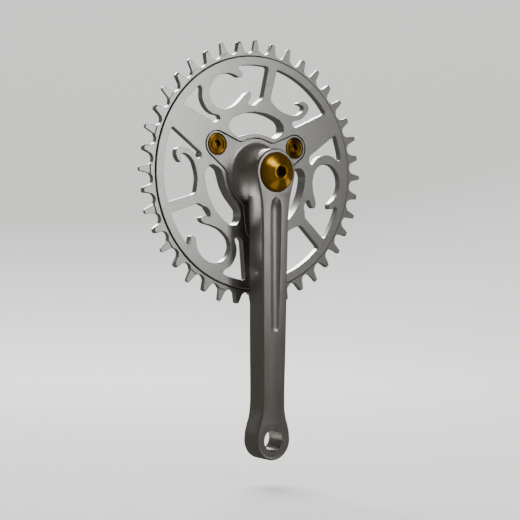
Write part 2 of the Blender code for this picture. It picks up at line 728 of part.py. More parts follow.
def build_cap(material):
    """The domed cap: a rim, a cone to the key hole, and a hollow threaded skirt."""
    skirt = EXTRACTOR_BORE - GAP
    build_ring("extractor_cap", material, [
        (CAP_APEX + 0.5, CAP_KEY_HOLE), (CAP_APEX, CAP_KEY_HOLE + 0.5),
        (CAP_APEX + 0.25, CAP_STEP_RADIUS), (CAP_APEX + 0.6, CAP_STEP_RADIUS + 0.3),
        (CAP_RIM - 1.3, CAP_RADIUS - 1.6), (CAP_RIM - 0.3, CAP_RADIUS - 0.4),
        (CAP_RIM + 0.1, CAP_RADIUS), (CAP_RIM_BACK, CAP_RADIUS), (CAP_RIM_BACK, skirt),
        (CAP_SKIRT_END, skirt), (CAP_SKIRT_END, CAP_HOLLOW_RADIUS),
        (CAP_HOLLOW_TOP, CAP_HOLLOW_RADIUS), (CAP_HOLLOW_TOP, CAP_KEY_HOLE),
    ], FINE)


def build_cap_seal(material):
    """The round-section seal between the cap's rim and its seat."""
    middle = (CAP_RIM_BACK + CAP_SEAT_FLOOR) / 2
    build_ring("cap_seal", material, circle(SEAL_SECTION_RADIUS, 8, (middle, SEAL_RADIUS)), FINE)


def flat_ring(faces, radii):
    """The profile of a plain washer."""
    return [(faces[0], radii[0]), (faces[0], radii[1]), (faces[1], radii[1]), (faces[1], radii[0])]


def build_washers(steel, nylon):
    """The steel washer on the ledge and the slip ring between bolt and cap."""
    build_ring("crank_bolt_washer", steel, flat_ring(WASHER_FACES, WASHER_RADII), FINE)
    build_ring("cap_slip_ring", nylon, flat_ring(SLIP_RING_FACES, SLIP_RING_RADII), FINE)


def build_crank_bolt(material):
    """The flanged fixing bolt with its key socket; it turns behind the cap."""
    shell = Shell()
    key = hexagon(CRANK_BOLT_KEY_FLATS)
    key_floor = CRANK_BOLT_TOP + CRANK_BOLT_KEY_DEPTH
    profile = [
        (CRANK_BOLT_TOP, CRANK_BOLT_HEAD_RADIUS - FLANGE_EDGE),
        (CRANK_BOLT_TOP + FLANGE_EDGE, CRANK_BOLT_HEAD_RADIUS),
        (CRANK_BOLT_FLANGE_TOP, CRANK_BOLT_HEAD_RADIUS),
        (CRANK_BOLT_FLANGE_TOP, CRANK_BOLT_FLANGE_RADIUS),
        (CRANK_BOLT_SEAT, CRANK_BOLT_FLANGE_RADIUS), (CRANK_BOLT_SEAT, THREAD_RADIUS),
        (CRANK_BOLT_END - CRANK_BOLT_LEAD, THREAD_RADIUS),
        (CRANK_BOLT_END, THREAD_RADIUS - CRANK_BOLT_LEAD),
    ]
    shell.region(CRANK_BOLT_TOP, circle(CRANK_BOLT_HEAD_RADIUS - FLANGE_EDGE, FINE), [key])
    shell.wall(key, CRANK_BOLT_TOP, key, key_floor)
    shell.region(key_floor, key)
    for (y_a, radius_a), (y_b, radius_b) in zip(profile, profile[1:]):
        shell.wall(circle(radius_a, FINE), y_a, circle(radius_b, FINE), y_b)
    shell.region(CRANK_BOLT_END, circle(THREAD_RADIUS - CRANK_BOLT_LEAD, FINE))
    return shell.finish("crank_bolt", material)


def clear_scene():
    """Removes whatever objects the file starts with."""
    for obj in list(bpy.data.objects):
        bpy.data.objects.remove(obj, do_unlink=True)


def build_crankset():
    """All the pieces, each with its own finish."""
    clear_scene()
    aluminium = metal("satin_aluminium", (0.60, 0.59, 0.57), 0.38)
    ring_aluminium = metal("blasted_aluminium", (0.62, 0.62, 0.61), 0.42)
    gold = metal("gold_anodised", (0.72, 0.48, 0.13), 0.28)
    steel = metal("dark_steel", (0.33, 0.33, 0.34), 0.4)
    rubber = plastic("black_rubber", (0.02, 0.02, 0.02), 0.7)
    nylon = plastic("natural_nylon", (0.75, 0.74, 0.68), 0.5)
    build_crank_arm(aluminium)
    build_chainring(ring_aluminium)
    build_fasteners(gold)
    build_cap(gold)
    build_cap_seal(rubber)
    build_washers(steel, nylon)
    build_crank_bolt(steel)


build_crankset()
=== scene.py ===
"""Looks of the bicycle crankset: fine meshes with cut edges over the CAD solids,
turned, brushed and blasted metal, and a pale studio.

Outlines are lists of (x, z) in millimetres in the row frame, seen along +Y, and
levels along Y are in millimetres too. Pieces become metres when they are made.
"""

import itertools
import json
import math

import bmesh
import bpy
import numpy as np
from mathutils import Matrix, Vector
from mathutils.geometry import tessellate_polygon


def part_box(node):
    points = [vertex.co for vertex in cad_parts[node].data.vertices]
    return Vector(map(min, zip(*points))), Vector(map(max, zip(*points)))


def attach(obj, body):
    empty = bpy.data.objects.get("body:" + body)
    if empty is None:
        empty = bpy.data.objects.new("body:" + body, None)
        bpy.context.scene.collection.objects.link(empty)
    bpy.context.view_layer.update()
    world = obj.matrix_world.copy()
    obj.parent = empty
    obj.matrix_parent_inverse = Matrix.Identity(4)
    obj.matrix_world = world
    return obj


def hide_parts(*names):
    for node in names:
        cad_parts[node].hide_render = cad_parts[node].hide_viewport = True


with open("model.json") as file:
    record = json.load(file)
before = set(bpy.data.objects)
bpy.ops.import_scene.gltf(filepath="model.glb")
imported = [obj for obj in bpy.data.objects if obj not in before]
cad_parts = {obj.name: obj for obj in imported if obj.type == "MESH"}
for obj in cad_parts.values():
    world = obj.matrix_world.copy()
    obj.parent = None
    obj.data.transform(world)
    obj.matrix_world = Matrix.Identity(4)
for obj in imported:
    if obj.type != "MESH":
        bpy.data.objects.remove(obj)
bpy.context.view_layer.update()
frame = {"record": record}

MM = 0.001


def levels(node):
    """The lowest and highest Y of a CAD node, in millimetres."""
    low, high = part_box(node)
    return low.y / MM, high.y / MM


def half_width(node):
    """Half of a CAD node's extent along X, in millimetres."""
    low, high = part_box(node)
    return (high.x - low.x) / 2 / MM


ARM_FRONT, REAR_FACE = levels("crank_arm")
DISC_FRONT, HUB_BACK = levels("chainring")
CAP_APEX, CAP_SKIRT_END = levels("extractor_cap")
CAP_RADIUS = half_width("extractor_cap")
BOLT_TOP, BOLT_END = levels("crank_bolt")
FLANGE_RADIUS = half_width("chainring_bolt_1")

BODIES = {
    node: body
    for body, nodes in frame["record"]["behaviour"]["bodies"].items() for node in nodes
}

# Material indices of the main finish, a bright cut edge, and painted shade for narrow grooves and
# gaps.
MAIN, CUT, PAINTED_SHADE = 0, 1, 2
# Edges that bend by more degrees than this are sharp.
SMOOTH_BELOW = 32
ARM_SMOOTH_BELOW = 28
# Outline points nearer than this, in millimetres, are one point.
SAME_POINT = 2e-4
# Points nearer than this, in metres, are one point after a Boolean.
WELD = 2e-6
# The least share of a mitre, and the share of an offset that a point keeps if it isn't folded.
MITRE_LIMIT = 0.6
FOLD_LIMIT = 0.97
TINY = 1e-9
# Chamfer along most cut edges.
EDGE = 0.3

# Points round the circles of each size.
DISC_POINTS = 240
HUB_POINTS = 180
BORE_POINTS = 120
SEAT_POINTS = 64
HOLE_POINTS = 48
HEAD_POINTS = 144
SPOT_POINTS = 96
BOLT_POINTS = 72

# Chainring.
TEETH = 40
SECTORS = 3
CHAIN_PITCH = 12.7
PITCH_RADIUS = CHAIN_PITCH / (2 * math.sin(math.pi / TEETH))
ROLLER_SEAT = 3.9
# Degrees from the bottom of a roller's seat up to the flank.
SEAT_SWING = 74
NARROW_TIP_RADIUS = 86.2
WIDE_TIP_RADIUS = 84.9
NARROW_STEP_RADIUS = 78.5
NARROW_ROOT = 1.5
WIDE_HALF = 1.95
NARROW_HALF = 1.1
# The teeth's chamfer deepens from this radius to the tip.
BEVEL_START_RADIUS = 80.5
ROOT_BEVEL = 0.8 * EDGE
TIP_BEVEL = 0.75
DISC_RADIUS = 75.0
RIM_INNER = 69.5
CRESCENT_OUTER = 39.35
POCKET_FLOOR = 1.6
POCKET_GAP = 0.6
HUB_RADIUS = 42.6
RING_BORE = 17.5
# The tool's relief groove at the foot of the raised disc.
FOOT_RELIEF = 0.8
FOOT_RELIEF_DEPTH = 0.7

# Spider and fasteners.
BOLT_CIRCLE = 34.95
LOBE_RADIUS = 8.2
BUMP_RADIUS = 22.3
HOLLOW_RADIUS = 8.0
HOLLOW_CENTRE = (12.2, 27.7)
SPIDER_BACK = 1.3
SEAT_RADIUS = 7.05
SEAT_DEPTH = 2.0
SEAT_EDGE = 0.25
BOLT_HOLE_RADIUS = 5.3
SLEEVE_RADIUS = 5.0
SLEEVE_BORE = 4.3
THREAD_RADIUS = 4.0
FRONT_BOLT_ANGLES = (30, 150)
REAR_BOLT_ANGLE = 270
FLANGE_FACE = [(0, 6.25), (0.12, 6.55), (0.4, FLANGE_RADIUS), (1.8, FLANGE_RADIUS)]
FLANGE_BACK = FLANGE_FACE[-1][0]
# Pitch and depth of each cut thread.
BOLT_THREAD = (0.75, 0.4)
CAP_THREAD = (1.0, 0.45)
CRANK_BOLT_THREAD = (1.0, 0.5)
# Flats of each key socket, and the share of its corners that is rounded off.
CHAINRING_KEY = (5.0, 0.08)
CRANK_KEY = (6.0, 0.05)
KEY_LEAD_IN = 1.06
CRANK_FLANGE_FRONT = -15.4
CRANK_FLANGE_BACK = -13.4
CRANK_BOLT_FACE = 6.6
CRANK_THREAD_START = -9.0

# Arm.
ARM_LENGTH = 170.0
ARM_BACK = -9.5
ARM_CHAMFER = 1.0
HEAD_RADIUS = 15.0
EYE_RADIUS = 12.8
PEDAL_HOLE = 6.9
PEDAL_MOUTH = 7.25
PEDAL_LEAD_IN = 0.6
PEDAL_LEAD_RADIUS = 6.95
PEDAL_THREAD_PITCH = 1.27
PEDAL_THREAD_DEPTH = 0.32
PEDAL_THREAD_LEVELS = 8
SPOT_FACE_RADIUS = 10.4
SPOT_FACE_DEPTH = 0.12
ARM_HALF_WIDTHS = [
    (-3.9, 14.49), (-10, 12.9), (-15, 11.75), (-20, 10.95), (-30, 10.2), (-50, 9.85), (-80, 9.5),
    (-112, 9.1), (-143, 8.55), (-154, 9.3), (-160, 11.0), (-165, 12.3), (-170, EYE_RADIUS),
]
# The boss follows the first few half widths, a little inside them, down to a round foot.
BOSS_STATIONS = 6
BOSS_GAP = 0.3
BOSS_FOOT = 20.2
FLARE_START = -20.0
FLARE_RADIUS = 20.5
FLARE_SECTIONS = 24
REAR_BOSS_RADIUS = 16.0
REAR_BOSS_EDGE = 0.6
GROOVE_TOOL = 5.0
GROOVE_STAND_OFF = 2.0
GROOVE_START = -12.2
GROOVE_STATIONS = [(-17, 2.5), (-20, 3.9), (-25.5, 4.3), (-45, 4.05), (-70, 3.55), (-98.4, 2.95)]
GROOVE_END_STEP = 0.36
CAP_SEAT_RADIUS = 12.65
CAP_SEAT_FLOOR = -22.4
CAP_SEAT_FLARE = 1.25
CAP_RIM_BACK = -24.1
CAP_HOLLOW_TOP = -23.1
CAP_HOLLOW_RADIUS = 8.8
CAP_KEY_HOLE = 3.6
EXTRACTOR_BORE = 11.0
BOLT_LEDGE = -11.0
BOLT_HOLE = 4.5
SOCKET_TOP = -8.0
SOCKET_TOP_FLATS = 12.65
SOCKET_CORNER = 0.9
SOCKET_LEAD_IN = 0.7
SOCKET_FLARE = 1.7
TAPER_DEGREES = 2.0

# Studio, in metres: the gap below the arm, the radius of the flat floor and of the bend
# round it, and the wall's height.
FLOOR_GAP = 0.015
FLOOR_RADIUS = 0.9
WALL_TOP = 2.6
FLOOR_COLOUR = (0.78, 0.775, 0.765)
# Where noise starts and stops to change a tone or a roughness.
NOISE_EDGES = (0.3, 0.7)

# Camera: azimuth, elevation and roll in degrees, its distance, how far right of the
# spindle and above it the view's centre is, and the lens for a 36 mm wide sensor.
CAMERA_ANGLES = (-34.87, 0.55)
CAMERA_ROLL = 0.57
CAMERA_DISTANCE = 971.2
VIEW_CENTRE = (3.95, -55.96)
LENS = 104.05


# ---- outlines ----

def polar(radius, degrees):
    """The point at a radius and an angle, counted from +X towards +Z."""
    angle = math.radians(degrees)
    return (radius * math.cos(angle), radius * math.sin(angle))


# Centres of the lobes whose bolts go in from the front, and of the one behind the arm,
# whose bolt goes in from the back.
FRONT_PLACES = [polar(BOLT_CIRCLE, angle) for angle in FRONT_BOLT_ANGLES]
REAR_PLACE = polar(BOLT_CIRCLE, REAR_BOLT_ANGLE)


def arc(radius, start, end, count, centre=(0.0, 0.0)):
    """count + 1 points along an arc from one angle to another, in degrees."""
    points = []
    for index in range(count + 1):
        x, z = polar(radius, start + (end - start) * index / count)
        points.append((centre[0] + x, centre[1] + z))
    return points


def circle(radius, count, centre=(0.0, 0.0)):
    """A closed circle."""
    return arc(radius, 0, 360, count, centre)[:-1]


def turned_by(points, degrees):
    """The outline turned about the spindle."""
    cosine, sine = math.cos(math.radians(degrees)), math.sin(math.radians(degrees))
    return [(x * cosine - z * sine, x * sine + z * cosine) for x, z in points]


def smooth_run(points, steps):
    """A Catmull-Rom curve through given points, ends included."""
    if len(points) == 2:
        return list(points)
    ends = [points[0], *points, points[-1]]
    result = []
    for index in range(1, len(points)):
        p0, p1, p2, p3 = (Vector(ends[index + k]) for k in (-1, 0, 1, 2))
        for step in range(steps):
            t = step / steps
            point = 0.5 * (
                2 * p1 + (p2 - p0) * t + (2 * p0 - 5 * p1 + 4 * p2 - p3) * t * t
                + (3 * p1 - p0 - 3 * p2 + p3) * t ** 3
            )
            result.append((point.x, point.y))
    result.append(points[-1])
    return result


def trimmed(line, length):
    """The polyline without its first stretch of the given length."""
    line = [Vector(point) for point in line]
    while len(line) > 2 and (line[1] - line[0]).length <= length:
        length -= (line[1] - line[0]).length
        line.pop(0)
    line[0] += (line[1] - line[0]).normalized() * length
    return [tuple(point) for point in line]


def rounded_outline(runs):
    """The closed outline of runs of (points, rounding of the corner at their end)."""
    corner_steps = 6
    lines = [smooth_run(points, 4) for points, _ in runs]
    result = []
    for index, (points, rounding) in enumerate(runs):
        line = trimmed(lines[index], runs[index - 1][1])
        line = trimmed(line[::-1], rounding)[::-1]
        following = trimmed(lines[(index + 1) % len(runs)], rounding)
        start, corner, end = Vector(line[-1]), Vector(points[-1]), Vector(following[0])
        result += line
        for step in range(1, corner_steps):
            t = step / corner_steps
            bend = (1 - t) ** 2 * start + 2 * t * (1 - t) * corner + t * t * end
            result.append(tuple(bend))
    return result


def crescent_window():
    """The bean between the spider and the scrolls."""
    return rounded_outline([
        (arc(CRESCENT_OUTER, 119, 61, 10), 1.5),
        ([polar(CRESCENT_OUTER, 61), (21.3, 30.6), (20.6, 27.0), (18.0, 24.5), (14.6, 22.8)], 0.7),
        ([(14.6, 22.8), (10.0, 23.7), (5.0, 24.8), (0, 25.2), (-5.0, 24.8), (-10.0, 23.7),
          (-14.6, 22.8)], 0.7),
        ([(-14.6, 22.8), (-18.0, 24.5), (-20.6, 27.0), (-21.3, 30.6), polar(CRESCENT_OUTER, 119)],
         1.5),
    ])


def scroll_window():
    """The C-shaped hollow with two thorns that opens into a trapezoid."""
    return rounded_outline([
        (arc(RIM_INNER, 101.6, 82.6, 6), 2.2),
        ([polar(RIM_INNER, 82.6), (4.6, 48.9)], 1.0),
        ([(4.6, 48.9), (3.3, 47.4), (0.9, 45.9), (-0.6, 44.3), (-2.9, 43.4), (-5.4, 43.6),
          (-6.9, 45.0), (-5.6, 47.0), (-4.6, 49.2), (-4.5, 51.0), (-5.8, 51.9), (-8.5, 50.9),
          (-11.2, 48.1), (-15.0, 44.4), (-20.0, 41.2), (-27.0, 39.6), (-33.0, 42.2),
          (-36.5, 49.3), (-34.4, 56.6), (-29.0, 61.3), (-23.0, 62.8), (-18.6, 62.4),
          (-14.4, 60.9), (-12.0, 61.2), (-11.0, 62.7), (-12.6, 64.9), (-14.9, 66.3)], 0.5),
        ([(-14.9, 66.3), polar(RIM_INNER, 101.6)], 0.6),
    ])


def corner_window():
    """The small curled triangle outside the scroll band."""
    return rounded_outline([
        (arc(RIM_INNER, 143.5, 129.0, 5), 1.4),
        ([polar(RIM_INNER, 129.0), (-42.2, 51.8), (-42.3, 47.0), (-41.0, 43.0), (-38.0, 39.0),
          (-34.0, 36.5), (-29.9, 35.7), (-28.3, 34.2), (-29.6, 32.0), (-32.6, 30.9)], 0.8),
        ([(-32.6, 30.9), polar(RIM_INNER, 143.5)], 1.4),
    ])


def curl_window():
    """The large window with one curl that grows from its lower edge."""
    return rounded_outline([
        (arc(RIM_INNER, 77.0, 36.9, 10), 1.6),
        ([polar(RIM_INNER, 36.9), (31.2, 30.8)], 0.8),
        ([(31.2, 30.8), (29.2, 31.7), (28.4, 33.3), (29.4, 35.1), (33.0, 35.7), (37.0, 37.8),
          (40.2, 41.0), (41.7, 44.4), (40.3, 47.0), (37.4, 48.2), (34.2, 47.9), (32.8, 46.9),
          (34.4, 46.1), (36.6, 45.4), (37.2, 43.6), (36.0, 41.3), (33.0, 39.5), (29.0, 38.6),
          (25.0, 39.2), (19.0, 41.0), (13.4, 45.0), (11.4, 47.1), (11.0, 49.5)], 0.6),
        ([(11.0, 49.5), polar(RIM_INNER, 77.0)], 1.2),
    ])


def spider_outline(grow):
    """Bump, hollow, lobe and hollow in each sector; grow moves it outwards."""
    lobe_angle = FRONT_BOLT_ANGLES[0]
    lobe_centre = Vector(polar(BOLT_CIRCLE, lobe_angle))
    hollow = Vector(HOLLOW_CENTRE)
    across = lobe_centre - hollow
    swing = math.asin((LOBE_RADIUS + HOLLOW_RADIUS) / across.length)
    tangent = math.degrees(math.atan2(across.y, across.x) + swing)
    bearing = math.degrees(math.atan2(hollow.y, hollow.x))
    half = arc(BUMP_RADIUS + grow, 90, bearing, 12)[:-1]
    half += arc(HOLLOW_RADIUS - grow, bearing - 180, tangent - 90, 18, HOLLOW_CENTRE)
    half += arc(LOBE_RADIUS + grow, tangent + 90, lobe_angle, 30, tuple(lobe_centre))
    mirrored = turned_by([(-x, z) for x, z in half], -360 / SECTORS)[::-1]
    sector = half + mirrored[1:-1]
    turns = [-360 / SECTORS * number for number in range(SECTORS)]
    return [point for turn in turns for point in turned_by(sector, turn)]


def distances_to(points, loop):
    """The distance from each point to the closed outline."""
    starts = np.array(loop)
    spans = np.roll(starts, -1, axis=0) - starts
    lengths = np.maximum((spans ** 2).sum(axis=1), TINY)
    offsets = points[:, None] - starts
    along = np.clip((offsets * spans).sum(axis=2) / lengths, 0, 1)
    return np.linalg.norm(offsets - along[..., None] * spans, axis=2).min(axis=1)


def grown(loop, amount):
    """The outline moved outwards, or inwards by a negative amount, without folds."""
    points = np.array(loop, float)
    amounts = np.broadcast_to(amount, len(points))
    following = np.roll(points, -1, axis=0)
    to_next = following - points
    to_next /= np.maximum(np.linalg.norm(to_next, axis=1, keepdims=True), TINY)
    area = (points[:, 0] * following[:, 1] - following[:, 0] * points[:, 1]).sum()
    side = 1 if area > 0 else -1
    normal = side * np.stack([to_next[:, 1], -to_next[:, 0]], axis=1)
    mitre = normal + np.roll(normal, 1, axis=0)
    mitre /= np.maximum(np.linalg.norm(mitre, axis=1, keepdims=True), TINY)
    reach = amounts / np.maximum((mitre * normal).sum(axis=1), MITRE_LIMIT)
    moved = points + mitre * reach[:, None]
    folded = distances_to(moved, loop) < FOLD_LIMIT * np.abs(amounts) - 1e-6
    if folded.all() or not folded.any():
        return [tuple(point) for point in moved]
    # The points of a folded stretch gather between its two neighbours.
    count = len(points)
    first = int(np.argmin(folded))
    order = [(first + step) % count for step in range(count)]
    for is_folded, run in itertools.groupby(order, key=folded.__getitem__):
        run = list(run)
        if is_folded:
            moved[run] = (moved[run[0] - 1] + moved[(run[-1] + 1) % count]) / 2
    return [tuple(point) for point in moved]


# ---- closed surfaces made of flat regions and the walls between loops ----

class Shell:
    """A closed surface whose points at the same place are shared."""

    def __init__(self):
        self.bm = bmesh.new()
        self.known = {}

    def vertex(self, corner):
        key = tuple(round(value, 4) for value in corner)
        if key not in self.known:
            self.known[key] = self.bm.verts.new([value * MM for value in corner])
        return self.known[key]

    def face(self, corners, material=MAIN):
        """A face without its repeated corners, unless nothing is left of it."""
        found = []
        for vertex in map(self.vertex, corners):
            if vertex not in found:
                found.append(vertex)
        if len(found) > 2 and not self.bm.faces.get(found):
            self.bm.faces.new(found).material_index = material

    def band(self, ring_a, ring_b, material=MAIN):
        """The faces between two closed rings of as many points in space."""
        for index in range(len(ring_a)):
            self.face([ring_a[index - 1], ring_a[index], ring_b[index], ring_b[index - 1]],
                      material)

    def wall(self, loop_a, y_a, loop_b, y_b, material=MAIN):
        """The band between two closed outlines with equal counts of points, at their levels."""
        self.band(placed(loop_a, y_a), placed(loop_b, y_b), material)

    def walls(self, sections, materials=itertools.repeat(MAIN)):
        """Bands through sections of (y, outline), and the material of each band."""
        for (y_a, loop_a), (y_b, loop_b), material in zip(sections, sections[1:], materials):
            self.wall(loop_a, y_a, loop_b, y_b, material)

    def region(self, y, outer, holes=(), material=MAIN):
        """The flat area inside the outer loop and outside the holes."""
        loops = [without_repeats(loop) for loop in (outer, *holes)]
        points = [point for loop in loops for point in loop]
        flat = [[Vector((x, z, 0)) for x, z in loop] for loop in loops]
        for triangle in tessellate_polygon(flat):
            self.face([(points[i][0], y, points[i][1]) for i in triangle], material)

    def turned(self, profile, count):
        """Bands round the piece's own axis, along a profile of (y, radius)."""
        self.walls([(y, circle(radius, count)) for y, radius in profile])

    def finish(self, name, materials):
        """The surface as a named object, its faces pointing out."""
        bmesh.ops.recalc_face_normals(self.bm, faces=self.bm.faces)
        obj = added(name, bpy.data.meshes.new(name))
        self.bm.to_mesh(obj.data)
        self.bm.free()
        for material in materials:
            obj.data.materials.append(material)
        sharpen(obj, SMOOTH_BELOW)
        return obj


def added(name, data):
    """A new object in the scene."""
    obj = bpy.data.objects.new(name, data)
    bpy.context.scene.collection.objects.link(obj)
    return obj


def placed(loop, y):
    """The outline's points in space, at one level along Y or at a level for each."""
    each = y if isinstance(y, (list, tuple)) else [y] * len(loop)
    return [(x, level, z) for (x, z), level in zip(loop, each)]


def without_repeats(loop):
    """The outline without points that lie on the one before."""
    kept = []
    for point in loop:
        if not kept or math.dist(point, kept[-1]) > SAME_POINT:
            kept.append(point)
    while len(kept) > 1 and math.dist(kept[0], kept[-1]) <= SAME_POINT:
        kept.pop()
    return kept


def combine(target, tools, operation):
    """Applies exact Booleans to the target, welds what they split, and removes the tools."""
    for tool in tools:
        modifier = target.modifiers.new(tool.name, "BOOLEAN")
        modifier.operation = operation
        modifier.solver = "EXACT"
        modifier.object = tool
    bpy.context.view_layer.update()
    graph = bpy.context.evaluated_depsgraph_get()
    mesh = bpy.data.meshes.new_from_object(target.evaluated_get(graph))
    bm = bmesh.new()
    bm.from_mesh(mesh)
    bmesh.ops.remove_doubles(bm, verts=bm.verts, dist=WELD)
    bm.to_mesh(mesh)
    bm.free()
    target.modifiers.clear()
    target.data = mesh
    for tool in tools:
        bpy.data.objects.remove(tool)


def sharpen(obj, smooth_below):
    """Smooth shading between edges that bend more than the angle."""
    obj.data.shade_smooth()
    obj.data.set_sharp_from_angle(angle=math.radians(smooth_below))


def stand_for(obj, node):
    """The fine piece replaces its CAD node and moves with the node's body."""
    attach(obj, BODIES[node])
    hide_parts(node)


# ---- materials ----

def fill(node, values):
    """Sets a node's sockets, each by its name or number."""
    for name, value in values.items():
        node.inputs[name].default_value = value


class Finish:
    """Builds one node material in small steps."""

    def __init__(self, name, colour, metallic, roughness):
        self.material = bpy.data.materials.new(name)
        self.material.use_nodes = True
        self.tree = self.material.node_tree
        self.shader = self.tree.nodes["Principled BSDF"]
        fill(self.shader, {"Base Color": (*colour, 1.0), "Metallic": metallic,
                           "Roughness": roughness})
        self.coordinates = self.node("TexCoord").outputs["Object"]
        self.height = None

    def node(self, kind, values=None, **settings):
        """A new shader node with the given socket values and settings."""
        node = self.tree.nodes.new(f"ShaderNode{kind}")
        for name, value in settings.items():
            setattr(node, name, value)
        fill(node, values or {})
        return node

    def link(self, source, target):
        self.tree.links.new(source, target)

    def noise(self, scale, detail=3.0, roughness=0.55):
        """Noise whose scale, in features a metre, may differ along X, Y and Z."""
        mapping = self.node("Mapping", {"Scale": scale})
        self.link(self.coordinates, mapping.inputs["Vector"])
        noise = self.node("TexNoise", {"Scale": 1.0, "Detail": detail, "Roughness": roughness})
        self.link(mapping.outputs["Vector"], noise.inputs["Vector"])
        return noise.outputs["Fac"]

    def ring_noise(self, per_metre):
        """Noise that changes only with the distance from the object's Y axis."""
        flat = self.node("VectorMath", {1: (1, 0, 1)}, operation="MULTIPLY")
        self.link(self.coordinates, flat.inputs[0])
        length = self.node("VectorMath", operation="LENGTH")
        self.link(flat.outputs[0], length.inputs[0])
        scaled = self.node("Math", {1: per_metre}, operation="MULTIPLY")
        self.link(length.outputs["Value"], scaled.inputs[0])
        noise = self.node("TexNoise", {"Scale": 1.0, "Detail": 2.0}, noise_dimensions="1D")
        self.link(scaled.outputs[0], noise.inputs["W"])
        return noise.outputs["Fac"]

    def tone(self, value, dark, light):
        """Base colour between two shades."""
        ramp = self.node("ValToRGB")
        for element, place, shade in zip(ramp.color_ramp.elements, NOISE_EDGES, (dark, light)):
            element.position = place
            element.color = (*shade, 1.0)
        self.link(value, ramp.inputs["Fac"])
        self.link(ramp.outputs["Color"], self.shader.inputs["Base Color"])

    def rough(self, value, low, high):
        """Roughness between two values."""
        start, end = NOISE_EDGES
        spread = self.node("MapRange", {"From Min": start, "From Max": end, "To Min": low,
                                        "To Max": high})
        self.link(value, spread.inputs["Value"])
        self.link(spread.outputs["Result"], self.shader.inputs["Roughness"])

    def relief(self, value, millimetres, strength):
        """Bump of the given height, on top of earlier relief."""
        bump = self.node("Bump", {"Distance": millimetres * MM, "Strength": strength})
        self.link(value, bump.inputs["Height"])
        if self.height:
            self.link(self.height, bump.inputs["Normal"])
        self.height = bump.outputs["Normal"]
        self.link(self.height, self.shader.inputs["Normal"])

    def turned_grain(self, anisotropy):
        """Highlights that stretch across tool marks that run round the Y axis."""
        tangent = self.node("Tangent", direction_type="RADIAL", axis="Y")
        self.link(tangent.outputs["Tangent"], self.shader.inputs["Tangent"])
        fill(self.shader, {"Anisotropic": anisotropy, "Anisotropic Rotation": 0.25})

    def straight_grain(self, anisotropy):
        """Highlights that stretch across brush marks that run along Z."""
        across = self.node("CombineXYZ", {"X": 1.0, "Y": 1.0})
        self.link(across.outputs["Vector"], self.shader.inputs["Tangent"])
        fill(self.shader, {"Anisotropic": anisotropy})


def even_finish(name, colour, metallic, tone, rough, relief):
    """A material that varies alike in all directions.

    Noise scales are in features a metre. tone is (scale, detail, noise's roughness, dark,
    light), rough is (scale, low, high), and relief is (scale, detail, millimetres, strength)."""
    finish = Finish(name, colour, metallic, rough[1])
    scale, detail, noise_roughness, dark, light = tone
    finish.tone(finish.noise((scale,) * 3, detail, noise_roughness), dark, light)
    scale, low, high = rough
    finish.rough(finish.noise((scale,) * 3), low, high)
    scale, detail, millimetres, strength = relief
    finish.relief(finish.noise((scale,) * 3, detail), millimetres, strength)
    return finish.material


def brushed_arm():
    """Satin aluminium, brushed along the arm, with faint handling marks."""
    finish = Finish("satin_aluminium", (0.50, 0.485, 0.465), 1.0, 0.34)
    streaks = finish.noise((5200, 5200, 90), 4.0)
    lines = finish.noise((1500, 1500, 28), 4.0, 0.7)
    finish.tone(lines, (0.435, 0.42, 0.395), (0.56, 0.545, 0.52))
    finish.rough(finish.noise((120, 120, 40), 4.0), 0.34, 0.44)
    finish.relief(streaks, 0.005, 0.4)
    finish.relief(finish.noise((2600, 2600, 2600), 2.0), 0.004, 0.3)
    finish.straight_grain(0.4)
    return finish.material


def blasted_ring():
    """Fine bead-blasted aluminium with slight mottling."""
    return even_finish(
        "blasted_aluminium", (0.55, 0.545, 0.53), 1.0,
        tone=(420, 5.0, 0.7, (0.505, 0.50, 0.48), (0.59, 0.585, 0.565)),
        rough=(900, 0.30, 0.38), relief=(4200, 2.0, 0.012, 0.5))


def cut_edge():
    """Bright edge left by the cutter, with small nicks."""
    return even_finish(
        "cut_edge", (0.80, 0.79, 0.77), 1.0,
        tone=(500, 3.0, 0.55, (0.70, 0.69, 0.67), (0.88, 0.87, 0.85)),
        rough=(1600, 0.18, 0.32), relief=(1500, 3.0, 0.01, 0.4))


def painted_gap_shade():
    """Painted shade: near-black material on narrow grooves and the pocket round the spider, where
    shade falls.
    """
    return even_finish(
        "painted_gap_shade", (0.03, 0.03, 0.03), 0.4,
        tone=(800, 3.0, 0.55, (0.02, 0.02, 0.02), (0.045, 0.045, 0.043)),
        rough=(1800, 0.6, 0.8), relief=(2500, 2.0, 0.01, 0.5))


def gold(name, dark, light):
    """Anodised aluminium, turned, so its highlights run as wedges."""
    finish = Finish(name, light, 1.0, 0.25)
    rings = finish.ring_noise(4200)
    finish.tone(finish.ring_noise(900), dark, light)
    finish.rough(rings, 0.22, 0.31)
    finish.relief(rings, 0.003, 0.4)
    finish.turned_grain(0.9)
    return finish.material


def steel():
    """Phosphated steel, dark and slightly uneven."""
    return even_finish(
        "dark_steel", (0.30, 0.30, 0.31), 1.0,
        tone=(600, 4.0, 0.55, (0.22, 0.22, 0.23), (0.36, 0.36, 0.37)),
        rough=(1500, 0.34, 0.52), relief=(2500, 2.0, 0.01, 0.5))


def rubber():
    """Moulded black rubber."""
    return even_finish(
        "black_rubber", (0.02, 0.02, 0.02), 0.0,
        tone=(900, 3.0, 0.55, (0.012, 0.012, 0.012), (0.035, 0.035, 0.035)),
        rough=(2200, 0.6, 0.85), relief=(3000, 2.0, 0.02, 0.5))


def nylon():
    """Moulded off-white nylon."""
    return even_finish(
        "natural_nylon", (0.75, 0.74, 0.68), 0.0,
        tone=(400, 3.0, 0.55, (0.70, 0.69, 0.62), (0.80, 0.79, 0.73)),
        rough=(1500, 0.42, 0.58), relief=(1800, 2.0, 0.01, 0.4))


# ---- chainring ----

